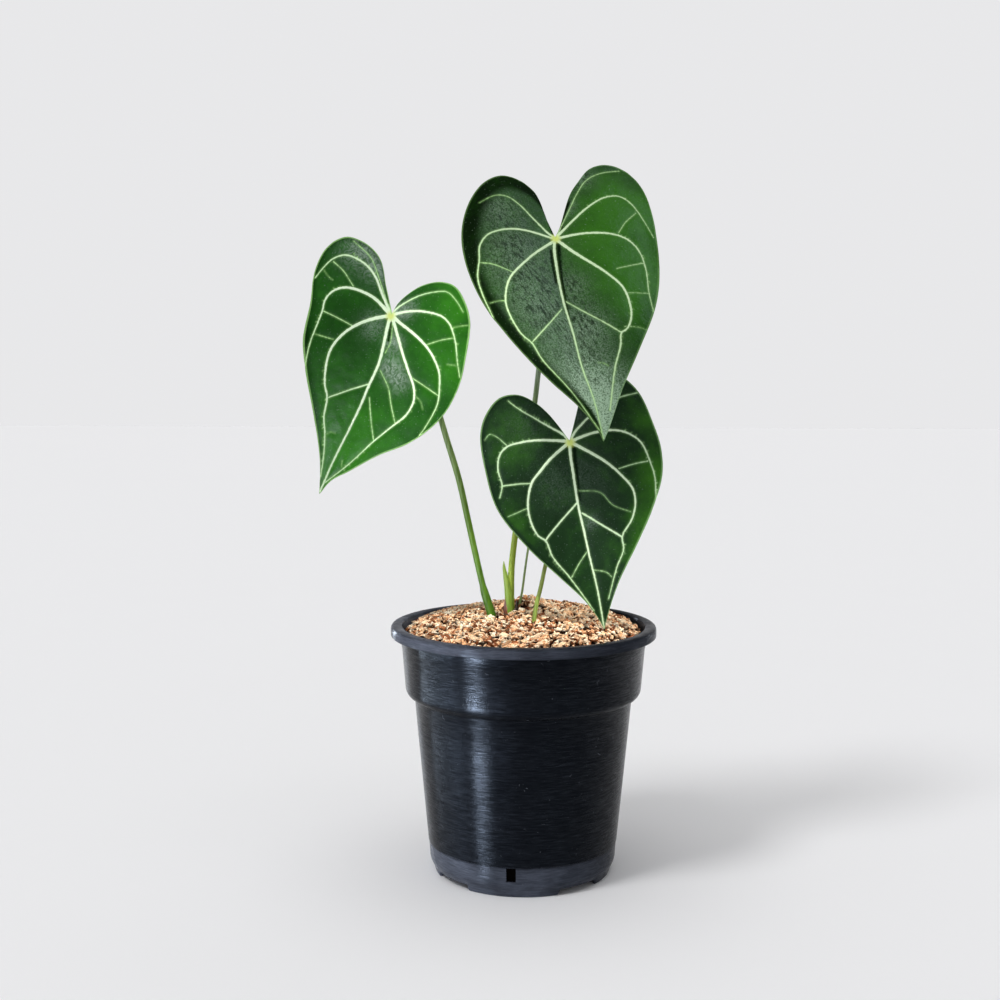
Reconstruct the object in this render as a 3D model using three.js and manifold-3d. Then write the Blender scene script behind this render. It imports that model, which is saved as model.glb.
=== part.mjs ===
// Potted Anthurium clarinervium: three heart-shaped leaves on slender petioles, a rolled young
// stalk and a short crown with dry scales, growing in coarse bark in a round nursery pot.
// Millimetres, +Z up. The origin is on the pot's axis at the level of the table, and the
// leaves face -Y. A blade's own frame has its origin at the sinus, where the petiole joins:
// x runs across the blade, y up from the tip towards the lobes, z out of the front face.
import * as THREE from 'three';
import Module from 'manifold-3d';
import { LoftGeometry } from 'three/addons/geometries/LoftGeometry.js';
import { ParametricGeometry } from 'three/addons/geometries/ParametricGeometry.js';
import { mergeVertices } from 'three/addons/utils/BufferGeometryUtils.js';

const wasm = await Module();
wasm.setup();

const GAP = 0.3;
const SPLINTER = 0.04;
const FULL_TURN = 2 * Math.PI;

// Pot
const POT_SIDES = 60;
const POT_HEIGHT = 141;
const RIM_RADIUS = 75;
const RIM_BAND = 5.6;
const RIM_ROUND = 0.8;
const RIM_SKIN = 1.3;
const MOUTH_RADIUS = 68.5;
const WALL = 1.3;
const COLLAR_TOP_RADIUS = 69.2;
const SHOULDER_RADIUS = 66.8;
const SHOULDER_HEIGHT = 106;
const SHOULDER_ROUND = 5.6;
const MOUTH_DRAFT = 0.6;
const BODY_TOP_RADIUS = 61.6;
const STEP_HEIGHT = 17.5;
const STEP_RADIUS = 53.9;
const STEP_DEPTH = 0.4;
const HEEL_HEIGHT = 9.2;
const HEEL_RADIUS = 53;
const FOOT_OUTER_RADIUS = 50;
const FOOT_INNER_RADIUS = 48.2;
const FOOT_HEIGHT = 3.6;
const FLOOR_PANEL_RADIUS = 46;
const FLOOR_PANEL_DRAFT = 0.6;
const FLOOR_UNDERSIDE = 2;
const FLOOR_TOP = 4.6;
const FOOT_COUNT = 4;
const FIRST_FOOT_ANGLE = THREE.MathUtils.degToRad(-97);
const FOOT_GAP_ANGLE = THREE.MathUtils.degToRad(30);
const FOOT_GAP_SKIN = 0.1;
const DRAIN_WIDTH = 5.6;
const DRAIN_BOTTOM = 9;
const DRAIN_TOP = 17.2;

// Bark and its heaped surface
const BARK_SIDES = 60;
const BARK_RINGS = 15;
const BARK_EDGE_HEIGHT = 138;
const BARK_HEAP = 7.5;
const BARK_SLOPE = 0.05;
const BARK_EDGE_DROP = 2;
const BARK_EDGE_START = 58;
const BARK_MOUND = { x: 3, y: 22, height: 5, radius: 9 };
const BARK_CHIP_RELIEF = 1.1;

// Blades
const BLADE_RAYS = 52;
const BLADE_RINGS = 10;
const BLADE_CENTRE = 0.12;
const BLADE_THICKNESS = 0.9;
const RIB_THICKNESS = 0.9;
const RIB_WIDTH = 2.5;
const GROOVE_WIDTH = 3;
const ARCH_MIDDLE = 0.45;
const WAVE_PER_MM = 0.09;
const PETIOLE_JOINT = 2;
const KNEE_LENGTH = 4;

// Outlines run from the sinus round the lobe and down the margin to the tip, one per side.
const LEAVES = {
  leaf_top: {
    sinus: [16.5, -4, 357],
    turn: 8,
    tilt: 24,
    roll: 9,
    length: 121,
    halfWidth: 56,
    fold: 0.24,
    marginRoll: 0.22,
    arch: 0.1,
    midribBow: -4.5,
    wave: 0.9,
    left: [[-2, 11], [-4.5, 30], [-11.5, 39], [-20.5, 43], [-31, 40], [-42, 29], [-50.5, 11],
      [-52.5, -12], [-48, -38], [-35, -66], [-22, -86], [-9, -102], [-2.5, -113]],
    right: [[3.5, 5], [14, 25], [20.5, 32.5], [29, 40], [39.5, 41.5], [49, 37], [56, 25.5],
      [57, 2], [53, -28], [44, -52], [29, -75.5], [15, -96], [4, -115]],
    color: 0x2f5a2c,
  },
  leaf_left: {
    sinus: [-73.5, -8, 314.5],
    turn: -14,
    tilt: 8,
    roll: -21,
    length: 107,
    halfWidth: 52,
    fold: 0.16,
    marginRoll: 0.14,
    arch: 0.07,
    midribBow: 4.3,
    wave: 0.8,
    left: [[-3, 4.5], [-9.5, 13.5], [-17.5, 25], [-24.5, 29.5], [-33, 31.5], [-42.5, 30.5],
      [-50.5, 22], [-52.5, 7], [-47, -11], [-42, -31], [-33, -47], [-20, -66], [-8, -86], [-3, -98]],
    right: [[1, 7], [7, 17.5], [13, 23], [20, 26.5], [28, 27], [35.5, 22.5], [44, 12.5], [50, -7],
      [52.5, -25], [50, -43], [39.5, -61], [25, -74.5], [12, -89], [4, -97.5]],
    color: 0x3d6a30,
  },
  leaf_low: {
    sinus: [25, -14, 245.5],
    turn: 6,
    tilt: 4,
    roll: 10.5,
    length: 106,
    halfWidth: 50,
    fold: 0.2,
    marginRoll: 0.16,
    arch: 0.05,
    midribBow: -2,
    wave: 0.7,
    left: [[-1.5, 3], [-5, 10], [-9.5, 17.5], [-15.5, 24.5], [-24, 30], [-34, 30], [-43, 22.5],
      [-48, 12], [-49, -8], [-46.5, -30], [-34, -53.5], [-19.5, -73], [-8, -88.5], [-3, -98]],
    right: [[1.5, 3], [6, 13], [11.5, 24.5], [17, 30], [25, 32], [33, 30.5], [42, 20], [47, 1],
      [49, -13], [47, -28], [38, -45], [27, -61], [12, -82], [3, -99]],
    color: 0x29482b,
  },
};

// Stems: hand-laid points from just under the bark upwards, with [share of length, radius]
const STEM_DEPTH = 10;
const STEMS = {
  petiole_top: {
    points: [[-7.2, 6.3, 146], [-7, 6.8, 170], [-5.3, 8, 187.5], [0, 9, 226], [6, 9, 267],
      [7.8, 9, 283], [11.8, 7.5, 317], [14.6, 4.5, 342]],
    radii: [[0, 2], [0.08, 1.8], [0.2, 1.6], [0.6, 1.45], [0.93, 1.35], [1, 1.6]],
    sides: 10,
    sections: 26,
    leaf: 'leaf_top',
    color: 0x6f7f45,
  },
  petiole_left: {
    points: [[-17.9, -1, 144.5], [-22.4, 0, 160], [-26.5, 1, 177], [-31.6, 3, 199.5],
      [-36.7, 4, 222], [-43.7, 5, 245], [-53.3, 5, 275.5], [-65.5, 3, 300.5]],
    radii: [[0, 2.5], [0.12, 2.4], [0.15, 1.75], [0.5, 1.8], [0.8, 1.5], [0.94, 1.4], [1, 1.6]],
    sides: 10,
    sections: 26,
    leaf: 'leaf_left',
    color: 0x5f7a35,
  },
  petiole_low: {
    points: [[5.9, -13.5, 144], [7.1, -13, 153.8], [9.2, -12, 162], [11.6, -11, 173.5],
      [16.2, -9, 195.5], [20.6, -8, 218], [23.7, -8.5, 234]],
    radii: [[0, 1.25], [0.3, 1.15], [0.9, 1.2], [1, 1.5]],
    sides: 10,
    sections: 20,
    leaf: 'leaf_low',
    color: 0x76893f,
  },
  young_stalk: {
    points: [[-2.2, 14, 149], [-0.7, 13.5, 158], [0.8, 13, 170], [2.4, 12.5, 181.5], [5.4, 12, 198],
      [8, 11.5, 212], [10.5, 11.5, 226]],
    radii: [[0, 0.7], [0.6, 0.65], [0.72, 1.1], [0.88, 1], [1, 0.35]],
    sides: 8,
    sections: 18,
    color: 0x7a8458,
  },
};

// Green sheath grown together with the top petiole's foot, its tip standing free
const SHEATH = {
  points: [[-8.5, 6, 150], [-9.2, 5.8, 160], [-10.6, 5.5, 168], [-11.1, 5.4, 172], [-11.1, 5.4, 175.5]],
  radii: [[0, 1.9], [0.55, 1.5], [0.78, 1.15], [0.9, 0.9], [1, 0.2]],
  sides: 8,
  sections: 12,
};

// Short crown, mostly under the bark, and the dry scales that stand round the top petiole
const CROWN = {
  x: -7,
  y: 6.8,
  foot: 130,
  footRadius: 4.4,
  shaft: 136,
  radius: 6.2,
  shoulder: 144.5,
  top: 146.3,
  topRadius: 4.4,
  sides: 16,
};
const CROWN_HOLE = { x: -7.9, y: 6.1, radius: 3, foot: 135.5 };
const SCALES = [
  { foot: 142, top: 157.5, facing: 222, halfAngle: 50, footRadius: 3.8, topRadius: 4.7 },
  { foot: 142, top: 157, facing: 330, halfAngle: 62, footRadius: 4.4, topRadius: 3 },
];
const SCALE_THICKNESS = 0.8;

// Closed bodies

function bareGeometry(geometry) {
  const bare = new THREE.BufferGeometry();
  bare.setAttribute('position', geometry.attributes.position);
  bare.setIndex(geometry.index);
  const merged = mergeVertices(bare, 1e-4);
  const corners = merged.index.array;
  const kept = [];
  for (let i = 0; i < corners.length; i += 3) {
    const [a, b, c] = corners.slice(i, i + 3);
    if (a !== b && b !== c && c !== a) kept.push(a, b, c);
  }
  merged.setIndex(kept);
  return merged;
}

function toSolid(geometry) {
  const bare = bareGeometry(geometry);
  const vertProperties = new Float32Array(bare.attributes.position.array);
  const triVerts = new Uint32Array(bare.index.array);
  return new wasm.Manifold(new wasm.Mesh({ numProp: 3, vertProperties, triVerts }));
}

function toGeometry(solid) {
  const mesh = solid.getMesh();
  const geometry = new THREE.BufferGeometry();
  geometry.setAttribute('position', new THREE.BufferAttribute(mesh.vertProperties, 3));
  geometry.setIndex(new THREE.BufferAttribute(mesh.triVerts, 1));
  return withoutSplinters(geometry);
}

// Cuts leave very short edges where two surfaces nearly meet. Their ends become one point.
function withoutSplinters(geometry) {
  const position = geometry.attributes.position;
  const corners = geometry.index.array;
  const joined = Array.from({ length: position.count }, (_, i) => i);
  const root = (i) => (joined[i] === i ? i : root(joined[i]));
  const from = new THREE.Vector3();
  const to = new THREE.Vector3();
  for (let i = 0; i < corners.length; i += 3) {
    for (let k = 0; k < 3; k++) {
      const a = corners[i + k];
      const b = corners[i + (k + 1) % 3];
      from.fromBufferAttribute(position, a);
      if (from.distanceTo(to.fromBufferAttribute(position, b)) < SPLINTER) joined[root(b)] = root(a);
    }
  }
  const points = [];
  for (let i = 0; i < position.count; i++) {
    from.fromBufferAttribute(position, root(i));
    points.push(from.x, from.y, from.z);
  }
  const closed = new THREE.BufferGeometry();
  closed.setAttribute('position', new THREE.Float32BufferAttribute(points, 3));
  closed.setIndex(Array.from(corners));
  return bareGeometry(closed);
}

// Turns an open sheet into a closed one: the back is the front moved by backOf, away from the
// side that its faces look to, and split into the same triangles. A band of side faces joins
// the two along the free edge.
function thickened(sheet, backOf) {
  const front = bareGeometry(sheet);
  const position = front.attributes.position;
  const corners = Array.from(front.index.array);
  const count = position.count;
  const points = Array.from(position.array);
  const point = new THREE.Vector3();
  for (let i = 0; i < count; i++) {
    backOf(point.fromBufferAttribute(position, i));
    points.push(point.x, point.y, point.z);
  }
  const edges = new Set();
  for (let i = 0; i < corners.length; i += 3) {
    for (let k = 0; k < 3; k++) edges.add(`${corners[i + k]},${corners[i + (k + 1) % 3]}`);
  }
  const faces = [...corners];
  for (let i = 0; i < corners.length; i += 3) {
    faces.push(corners[i + 2] + count, corners[i + 1] + count, corners[i] + count);
  }
  for (const edge of edges) {
    const [a, b] = edge.split(',').map(Number);
    if (edges.has(`${b},${a}`)) continue;
    faces.push(b, a, a + count, b, a + count, b + count);
  }
  const body = new THREE.BufferGeometry();
  body.setAttribute('position', new THREE.Float32BufferAttribute(points, 3));
  body.setIndex(faces);
  return body;
}

// Pot

function arcPoints(centreRadius, centreHeight, radius, from, to, steps) {
  const points = [];
  for (let i = 0; i <= steps; i++) {
    const angle = THREE.MathUtils.degToRad(from + (to - from) * i / steps);
    const r = centreRadius + radius * Math.cos(angle);
    points.push([r, centreHeight + radius * Math.sin(angle)]);
  }
  return points;
}

function innerWall() {
  const arcCentre = SHOULDER_RADIUS - SHOULDER_ROUND;
  return [
    [0, FLOOR_TOP],
    [HEEL_RADIUS - WALL - 2, FLOOR_TOP],
    [HEEL_RADIUS - WALL, HEEL_HEIGHT],
    [BODY_TOP_RADIUS - WALL, SHOULDER_HEIGHT - SHOULDER_ROUND + WALL],
    ...arcPoints(arcCentre, SHOULDER_HEIGHT, SHOULDER_ROUND - WALL, -70, 0, 3),
    [MOUTH_RADIUS - MOUTH_DRAFT, POT_HEIGHT - RIM_BAND],
    [MOUTH_RADIUS, POT_HEIGHT - RIM_ROUND],
  ];
}

function outerWall() {
  const arcCentre = SHOULDER_RADIUS - SHOULDER_ROUND;
  return [
    [0, FLOOR_UNDERSIDE],
    [FLOOR_PANEL_RADIUS, FLOOR_UNDERSIDE],
    [FLOOR_PANEL_RADIUS + FLOOR_PANEL_DRAFT, FOOT_HEIGHT],
    [FOOT_INNER_RADIUS, FOOT_HEIGHT],
    [FOOT_INNER_RADIUS, 0],
    [FOOT_OUTER_RADIUS, 0],
    [FOOT_OUTER_RADIUS + 1, FOOT_HEIGHT],
    [HEEL_RADIUS - 0.6, HEEL_HEIGHT - 2.4],
    [HEEL_RADIUS, HEEL_HEIGHT],
    [STEP_RADIUS - STEP_DEPTH, STEP_HEIGHT],
    [STEP_RADIUS, STEP_HEIGHT + 0.4],
    [BODY_TOP_RADIUS, SHOULDER_HEIGHT - SHOULDER_ROUND - 0.4],
    ...arcPoints(arcCentre, SHOULDER_HEIGHT, SHOULDER_ROUND, -72, 0, 4),
    [COLLAR_TOP_RADIUS, POT_HEIGHT - RIM_BAND],
  ];
}

function rim() {
  const underside = POT_HEIGHT - RIM_SKIN;
  return [
    [COLLAR_TOP_RADIUS + 0.3, underside],
    [RIM_RADIUS - RIM_SKIN, underside],
    [RIM_RADIUS - RIM_SKIN, POT_HEIGHT - RIM_BAND],
    [RIM_RADIUS, POT_HEIGHT - RIM_BAND],
    ...arcPoints(RIM_RADIUS - RIM_ROUND, POT_HEIGHT - RIM_ROUND, RIM_ROUND, 0, 90, 2),
    [MOUTH_RADIUS + RIM_ROUND, POT_HEIGHT],
  ];
}

function revolved(profile, sides) {
  const points = profile.map(([r, z]) => new THREE.Vector2(r, z));
  return new THREE.LatheGeometry(points, sides).rotateX(Math.PI / 2);
}

function footGap(angle) {
  const inner = (FLOOR_PANEL_RADIUS + FLOOR_PANEL_DRAFT + FOOT_INNER_RADIUS) / 2;
  const outer = RIM_RADIUS;
  const below = 1;
  const half = FOOT_GAP_ANGLE / 2;
  const shape = new THREE.Shape();
  shape.absarc(0, 0, outer, -half, half, false);
  shape.absarc(0, 0, inner, half, -half, true);
  const depth = below + FOOT_HEIGHT - FOOT_GAP_SKIN;
  const cutter = new THREE.ExtrudeGeometry(shape, { depth, bevelEnabled: false, curveSegments: 6 });
  return cutter.translate(0, 0, -below).rotateZ(angle);
}

function drainSlot(angle) {
  const reach = 8;
  const height = DRAIN_TOP - DRAIN_BOTTOM;
  const slot = new THREE.BoxGeometry(reach, DRAIN_WIDTH, height);
  return slot.translate(HEEL_RADIUS, 0, DRAIN_BOTTOM + height / 2).rotateZ(angle);
}

function potGeometry() {
  const profile = [...outerWall(), ...rim(), ...innerWall().reverse()];
  let pot = toSolid(revolved(profile, POT_SIDES));
  for (let i = 0; i < FOOT_COUNT; i++) {
    const foot = FIRST_FOOT_ANGLE + FULL_TURN * i / FOOT_COUNT;
    pot = pot.subtract(toSolid(footGap(foot + Math.PI / FOOT_COUNT)));
    pot = pot.subtract(toSolid(drainSlot(foot)));
  }
  return toGeometry(pot);
}

// Blades

function midribAt(leaf, y) {
  const share = THREE.MathUtils.clamp(-y / leaf.length, 0, 1);
  return leaf.midribBow * Math.sin(Math.PI * share ** 0.7);
}

// Height of the front face: a V groove along the midrib, margins that roll back, the whole
// blade arched from lobes to tip, and a low wave that grows towards the margin.
function bladeHeight(leaf, x, y) {
  const across = Math.abs(x - midribAt(leaf, y));
  const fold = leaf.fold * (Math.hypot(across, GROOVE_WIDTH) - GROOVE_WIDTH);
  const margin = leaf.marginRoll * leaf.halfWidth * (across / leaf.halfWidth) ** 2.6;
  const along = y / leaf.length + ARCH_MIDDLE;
  const arch = leaf.arch * leaf.length * (along ** 2 - ARCH_MIDDLE ** 2);
  const swell = (across / leaf.halfWidth) ** 3;
  const wave = leaf.wave * swell * Math.sin(WAVE_PER_MM * y + Math.sign(x));
  return fold - margin - arch + wave;
}

function halfOutline(leaf, side) {
  const points = [[0, 0], ...leaf[side], [0, -leaf.length]];
  const vectors = points.map(([x, y]) => new THREE.Vector3(x, y, 0));
  return new THREE.CatmullRomCurve3(vectors, false, 'centripetal');
}

function bladeGeometry(leaf) {
  const right = halfOutline(leaf, 'right');
  const left = halfOutline(leaf, 'left');
  const edge = new THREE.Vector3();
  const centreY = -BLADE_CENTRE * leaf.length;
  function front(u, v, target) {
    if (u <= 0.5) right.getPointAt(2 * u, edge);
    else left.getPointAt(2 * (1 - u), edge);
    const y = centreY + v * (edge.y - centreY);
    const x = v * edge.x + midribAt(leaf, y) * (1 - v ** 6);
    target.set(x, y, bladeHeight(leaf, x, y));
  }
  function backOf(point) {
    const across = (point.x - midribAt(leaf, point.y)) / RIB_WIDTH;
    const fade = THREE.MathUtils.clamp(1 + point.y / leaf.length, 0, 1);
    point.z -= BLADE_THICKNESS + RIB_THICKNESS * fade * Math.exp(-(across ** 2));
  }
  return thickened(new ParametricGeometry(front, BLADE_RAYS, BLADE_RINGS), backOf);
}

function placeBlade(mesh, leaf) {
  const turned = new THREE.Group();
  turned.position.set(...leaf.sinus);
  turned.rotation.z = THREE.MathUtils.degToRad(leaf.turn);
  mesh.rotation.x = THREE.MathUtils.degToRad(90 - leaf.tilt);
  mesh.rotation.z = THREE.MathUtils.degToRad(leaf.roll);
  turned.add(mesh);
  turned.updateMatrixWorld(true);
  return turned;
}

// Stems

function radiusAt(radii, share) {
  const next = radii.findIndex(([at]) => at >= share);
  if (next <= 0) return radii[0][1];
  const [fromShare, from] = radii[next - 1];
  const [toShare, to] = radii[next];
  return THREE.MathUtils.mapLinear(share, fromShare, toShare, from, to);
}

// A stem goes straight down from its first point, and a petiole ends in a knee that bends
// forward to the middle of its blade's back, just below the sinus.
function stemPath(stem) {
  const points = stem.points.map((p) => new THREE.Vector3(...p));
  const foot = points[0].clone();
  foot.z -= STEM_DEPTH;
  points.unshift(foot);
  if (stem.leaf) {
    const blade = meshes[stem.leaf];
    const backDepth = BLADE_THICKNESS + RIB_THICKNESS + GAP;
    const knee = new THREE.Vector3(0, -PETIOLE_JOINT, -backDepth - KNEE_LENGTH);
    const end = new THREE.Vector3(0, -PETIOLE_JOINT, -backDepth);
    points.push(blade.localToWorld(knee), blade.localToWorld(end));
  }
  return new THREE.CatmullRomCurve3(points, false, 'centripetal');
}

function stemGeometry(stem, grow = 0) {
  const path = stemPath(stem);
  const frames = path.computeFrenetFrames(stem.sections, false);
  const rings = [];
  for (let i = 0; i <= stem.sections; i++) {
    const share = i / stem.sections;
    const centre = path.getPointAt(share);
    if (i === 0) centre.z -= grow;
    const radius = radiusAt(stem.radii, share) + grow;
    const ring = [];
    for (let k = 0; k < stem.sides; k++) {
      const angle = FULL_TURN * k / stem.sides;
      ring.push(centre.clone()
        .addScaledVector(frames.normals[i], radius * Math.cos(angle))
        .addScaledVector(frames.binormals[i], radius * Math.sin(angle)));
    }
    rings.push(ring);
  }
  return new LoftGeometry(rings, { capStart: true, capEnd: true });
}

// A pointed leafy scale round a vertical axis, wide at its foot and closing to a tip
function scaleGeometry(axis, scale, thickness) {
  const facing = THREE.MathUtils.degToRad(scale.facing);
  const halfAngle = THREE.MathUtils.degToRad(scale.halfAngle);
  function inside(u, v, target) {
    const angle = facing + (1 - 2 * u) * halfAngle * (1 - v ** 2.2);
    const radius = THREE.MathUtils.lerp(scale.footRadius, scale.topRadius, v);
    const z = THREE.MathUtils.lerp(scale.foot, scale.top, v);
    target.set(axis.x + radius * Math.cos(angle), axis.y + radius * Math.sin(angle), z);
  }
  function outward(point) {
    const angle = Math.atan2(point.y - axis.y, point.x - axis.x);
    point.x += thickness * Math.cos(angle);
    point.y += thickness * Math.sin(angle);
  }
  return thickened(new ParametricGeometry(inside, 8, 6), outward);
}

function sheathedPetiole() {
  const stem = toSolid(stemGeometry(STEMS.petiole_top));
  return toGeometry(stem.add(toSolid(stemGeometry(SHEATH))));
}

function crownBody() {
  const profile = [
    [0, CROWN.foot],
    [CROWN.footRadius, CROWN.foot],
    [CROWN.radius, CROWN.shaft],
    [CROWN.radius, CROWN.shoulder],
    [CROWN.topRadius, CROWN.top],
    [0, CROWN.top],
  ];
  return toSolid(revolved(profile, CROWN.sides).translate(CROWN.x, CROWN.y, 0));
}

// The hole in the bark for the crown, open to the sky
function crownPit() {
  const profile = [
    [0, CROWN.foot - GAP],
    [CROWN.footRadius + GAP, CROWN.foot - GAP],
    [CROWN.radius + GAP, CROWN.shaft - GAP],
    [CROWN.radius + GAP, CROWN.top + POT_HEIGHT],
    [0, CROWN.top + POT_HEIGHT],
  ];
  return toSolid(revolved(profile, CROWN.sides).translate(CROWN.x, CROWN.y, 0));
}

function crownGeometry() {
  const [x, y] = STEMS.petiole_top.points[0];
  let crown = crownBody();
  for (const scale of SCALES) {
    crown = crown.add(toSolid(scaleGeometry({ x, y }, scale, SCALE_THICKNESS)));
  }
  const depth = CROWN.top + 1 - CROWN_HOLE.foot;
  const hole = new THREE.CylinderGeometry(CROWN_HOLE.radius, CROWN_HOLE.radius, depth, 12);
  hole.rotateX(Math.PI / 2);
  hole.translate(CROWN_HOLE.x, CROWN_HOLE.y, CROWN_HOLE.foot + depth / 2);
  return toGeometry(crown.subtract(toSolid(hole)));
}

// Bark

// The same whole number always gives the same share between 0 and 1.
function scatter(number) {
  const mixed = Math.sin(number * 12.9898 + 4.1414) * 43758.5453;
  return mixed - Math.floor(mixed);
}

function barkHeight(x, y) {
  const r = Math.hypot(x, y);
  const heap = BARK_EDGE_HEIGHT + BARK_HEAP * (1 - (r / MOUTH_RADIUS) ** 2) + BARK_SLOPE * y;
  const edge = BARK_EDGE_DROP * THREE.MathUtils.smoothstep(r, BARK_EDGE_START, MOUTH_RADIUS);
  const fromMound = Math.hypot(x - BARK_MOUND.x, y - BARK_MOUND.y) / BARK_MOUND.radius;
  return heap - edge + BARK_MOUND.height * Math.exp(-(fromMound ** 2));
}

function barkGeometry() {
  const wall = innerWall().filter(([, z]) => z < BARK_EDGE_HEIGHT - BARK_EDGE_DROP - 1);
  const sides = wall.map(([r, z]) => [Math.max(r - GAP, 0), z + (z === FLOOR_TOP ? GAP : 0)]);
  const topRadius = MOUTH_RADIUS - MOUTH_DRAFT - GAP;
  const rings = [];
  for (let i = 0; i <= BARK_RINGS; i++) rings.push([topRadius * (1 - i / BARK_RINGS), POT_HEIGHT]);
  const profile = [...sides, ...rings];
  const bark = revolved(profile, BARK_SIDES);
  const position = bark.attributes.position;
  for (let i = 0; i < position.count; i++) {
    const ring = i % profile.length - sides.length;
    if (ring < 0) continue;
    const column = Math.floor(i / profile.length) % BARK_SIDES;
    const x = position.getX(i);
    const y = position.getY(i);
    const centre = ring === BARK_RINGS;
    const relief = centre ? 0 : (scatter(column + ring * BARK_SIDES) - 0.5) * 2 * BARK_CHIP_RELIEF;
    position.setZ(i, barkHeight(x, y) + relief);
  }
  let solid = toSolid(bark);
  for (const name of ['petiole_left', 'petiole_low', 'young_stalk']) {
    solid = solid.subtract(toSolid(stemGeometry(STEMS[name], GAP)));
  }
  return toGeometry(solid.subtract(crownPit()));
}

// The plant in its pot

const meshes = {};
const plant = new THREE.Group();

function addPiece(name, geometry, color, roughness) {
  const material = new THREE.MeshStandardMaterial({ color, roughness, metalness: 0 });
  const mesh = new THREE.Mesh(geometry, material);
  mesh.name = name;
  meshes[name] = mesh;
  plant.add(mesh);
  return mesh;
}

addPiece('pot', potGeometry(), 0x16171a, 0.35);
for (const [name, leaf] of Object.entries(LEAVES)) {
  const blade = addPiece(name, bladeGeometry(leaf), leaf.color, 0.75);
  plant.add(placeBlade(blade, leaf));
}
addPiece('petiole_top', sheathedPetiole(), STEMS.petiole_top.color, 0.5);
for (const name of ['petiole_left', 'petiole_low', 'young_stalk']) {
  addPiece(name, bareGeometry(stemGeometry(STEMS[name])), STEMS[name].color, 0.5);
}
addPiece('crown', crownGeometry(), 0x3a2a1e, 0.8);
addPiece('bark', barkGeometry(), 0x8a6040, 0.9);

export default plant;
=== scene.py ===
"""A young Anthurium clarinervium in a black nursery pot, seen from in front.

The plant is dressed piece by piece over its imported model. Shapes are worked out in millimetres
in the model's own frame and turned into metres when a piece is finished.
"""

import math
import random

import bmesh
import bpy
import numpy as np
from mathutils import Matrix, Vector, noise


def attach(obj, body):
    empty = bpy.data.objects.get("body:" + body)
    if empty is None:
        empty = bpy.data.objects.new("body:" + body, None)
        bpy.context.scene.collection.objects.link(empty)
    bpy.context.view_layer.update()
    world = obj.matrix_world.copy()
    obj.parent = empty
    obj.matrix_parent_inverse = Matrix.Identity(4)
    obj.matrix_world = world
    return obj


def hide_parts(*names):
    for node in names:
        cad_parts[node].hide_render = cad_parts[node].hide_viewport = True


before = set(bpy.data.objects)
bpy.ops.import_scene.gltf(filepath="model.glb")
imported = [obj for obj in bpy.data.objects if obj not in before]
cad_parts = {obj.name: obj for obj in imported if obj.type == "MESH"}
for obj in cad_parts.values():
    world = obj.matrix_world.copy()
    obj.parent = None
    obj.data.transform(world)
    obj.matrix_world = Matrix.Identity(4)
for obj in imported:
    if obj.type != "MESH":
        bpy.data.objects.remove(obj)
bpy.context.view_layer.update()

# View and studio
# The camera stands level with the crown of the plant and looks down a little. Panels show in
# the gloss, two far lights carry the scene, and two narrow spots reach into the pot's mouth.

CAMERA_PLACE = (0.0, -0.780, 0.285)
CAMERA_DOWN = 5.4
CAMERA_TURN = 0.99
CAMERA_LEAN = 0.17
FOCAL_PIXELS = 1393
SENSOR_WIDTH = 36.0
PHOTO_PIXELS = 1000
SPOT_TINT = (1.0, 0.96, 0.90)
SPOT_EDGE = 0.25
SPOT_SOFTNESS = 0.02
GLOW_HEIGHTS = (0.25, 0.6)
GLOW_BELOW, GLOW_ABOVE = 0.82, 0.25
FLAGGED = 0.6
FLOOR_REACH = 6.0

camera_data = bpy.data.cameras.new("camera")
camera_data.sensor_width = SENSOR_WIDTH
camera_data.lens = FOCAL_PIXELS * SENSOR_WIDTH / PHOTO_PIXELS
camera = bpy.data.objects.new("camera", camera_data)
camera.matrix_world = (
    Matrix.Translation(CAMERA_PLACE)
    @ Matrix.Rotation(math.radians(CAMERA_TURN), 4, "Z")
    @ Matrix.Rotation(math.radians(90 - CAMERA_DOWN), 4, "X")
    @ Matrix.Rotation(math.radians(CAMERA_LEAN), 4, "Z")
)
bpy.context.scene.collection.objects.link(camera)
bpy.context.scene.camera = camera
bpy.context.scene.view_settings.view_transform = "Standard"


def lamp(kind, name, place, aim, power, tint):
    """A lamp that looks from its place towards its aim, both in metres."""
    data = bpy.data.lights.new(name, kind)
    data.energy = power
    data.color = tint
    light = bpy.data.objects.new(name, data)
    light.location = place
    light.rotation_euler = (Vector(aim) - Vector(place)).to_track_quat("-Z", "Y").to_euler()
    bpy.context.scene.collection.objects.link(light)
    return light


def panel_light(name, place, aim, size, power, tint):
    """A panel that shows in the gloss of the plant and adds no light to the floor."""
    light = lamp("AREA", name, place, aim, power, tint)
    light.data.shape = "RECTANGLE"
    light.data.size, light.data.size_y = size
    light.visible_diffuse = False
    light.visible_camera = False


# Each panel's name, place, aim, size, power and tint
for panel in (
    ("sheen", (0.74, -0.42, 1.28), (0.02, 0, 0.31), (0.4, 0.4), 16, (0.72, 0.92, 1.0)),
    ("strip", (-0.43, -0.47, 0.05), (0, 0, 0.07), (0.009, 0.14), 25, (0.84, 0.9, 1.0)),
    ("soft_left", (-0.25, -0.25, 0.03), (0, 0, 0.05), (0.46, 0.07), 1.1, (0.74, 0.84, 1.0)),
    ("side_left", (-0.35, -0.05, 0.03), (0, -0.04, 0.05), (0.3, 0.06), 1.0, (0.70, 0.84, 1.0)),
    ("back_left", (-0.72, 0.96, 0.16), (0, 0, 0.06), (0.10, 0.4), 7, (0.78, 0.88, 1.0)),
    ("back_right", (0.85, 0.85, 0.16), (0, 0, 0.06), (0.04, 0.4), 0.8, (0.85, 0.92, 1.0)),
):
    panel_light(*panel)


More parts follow.
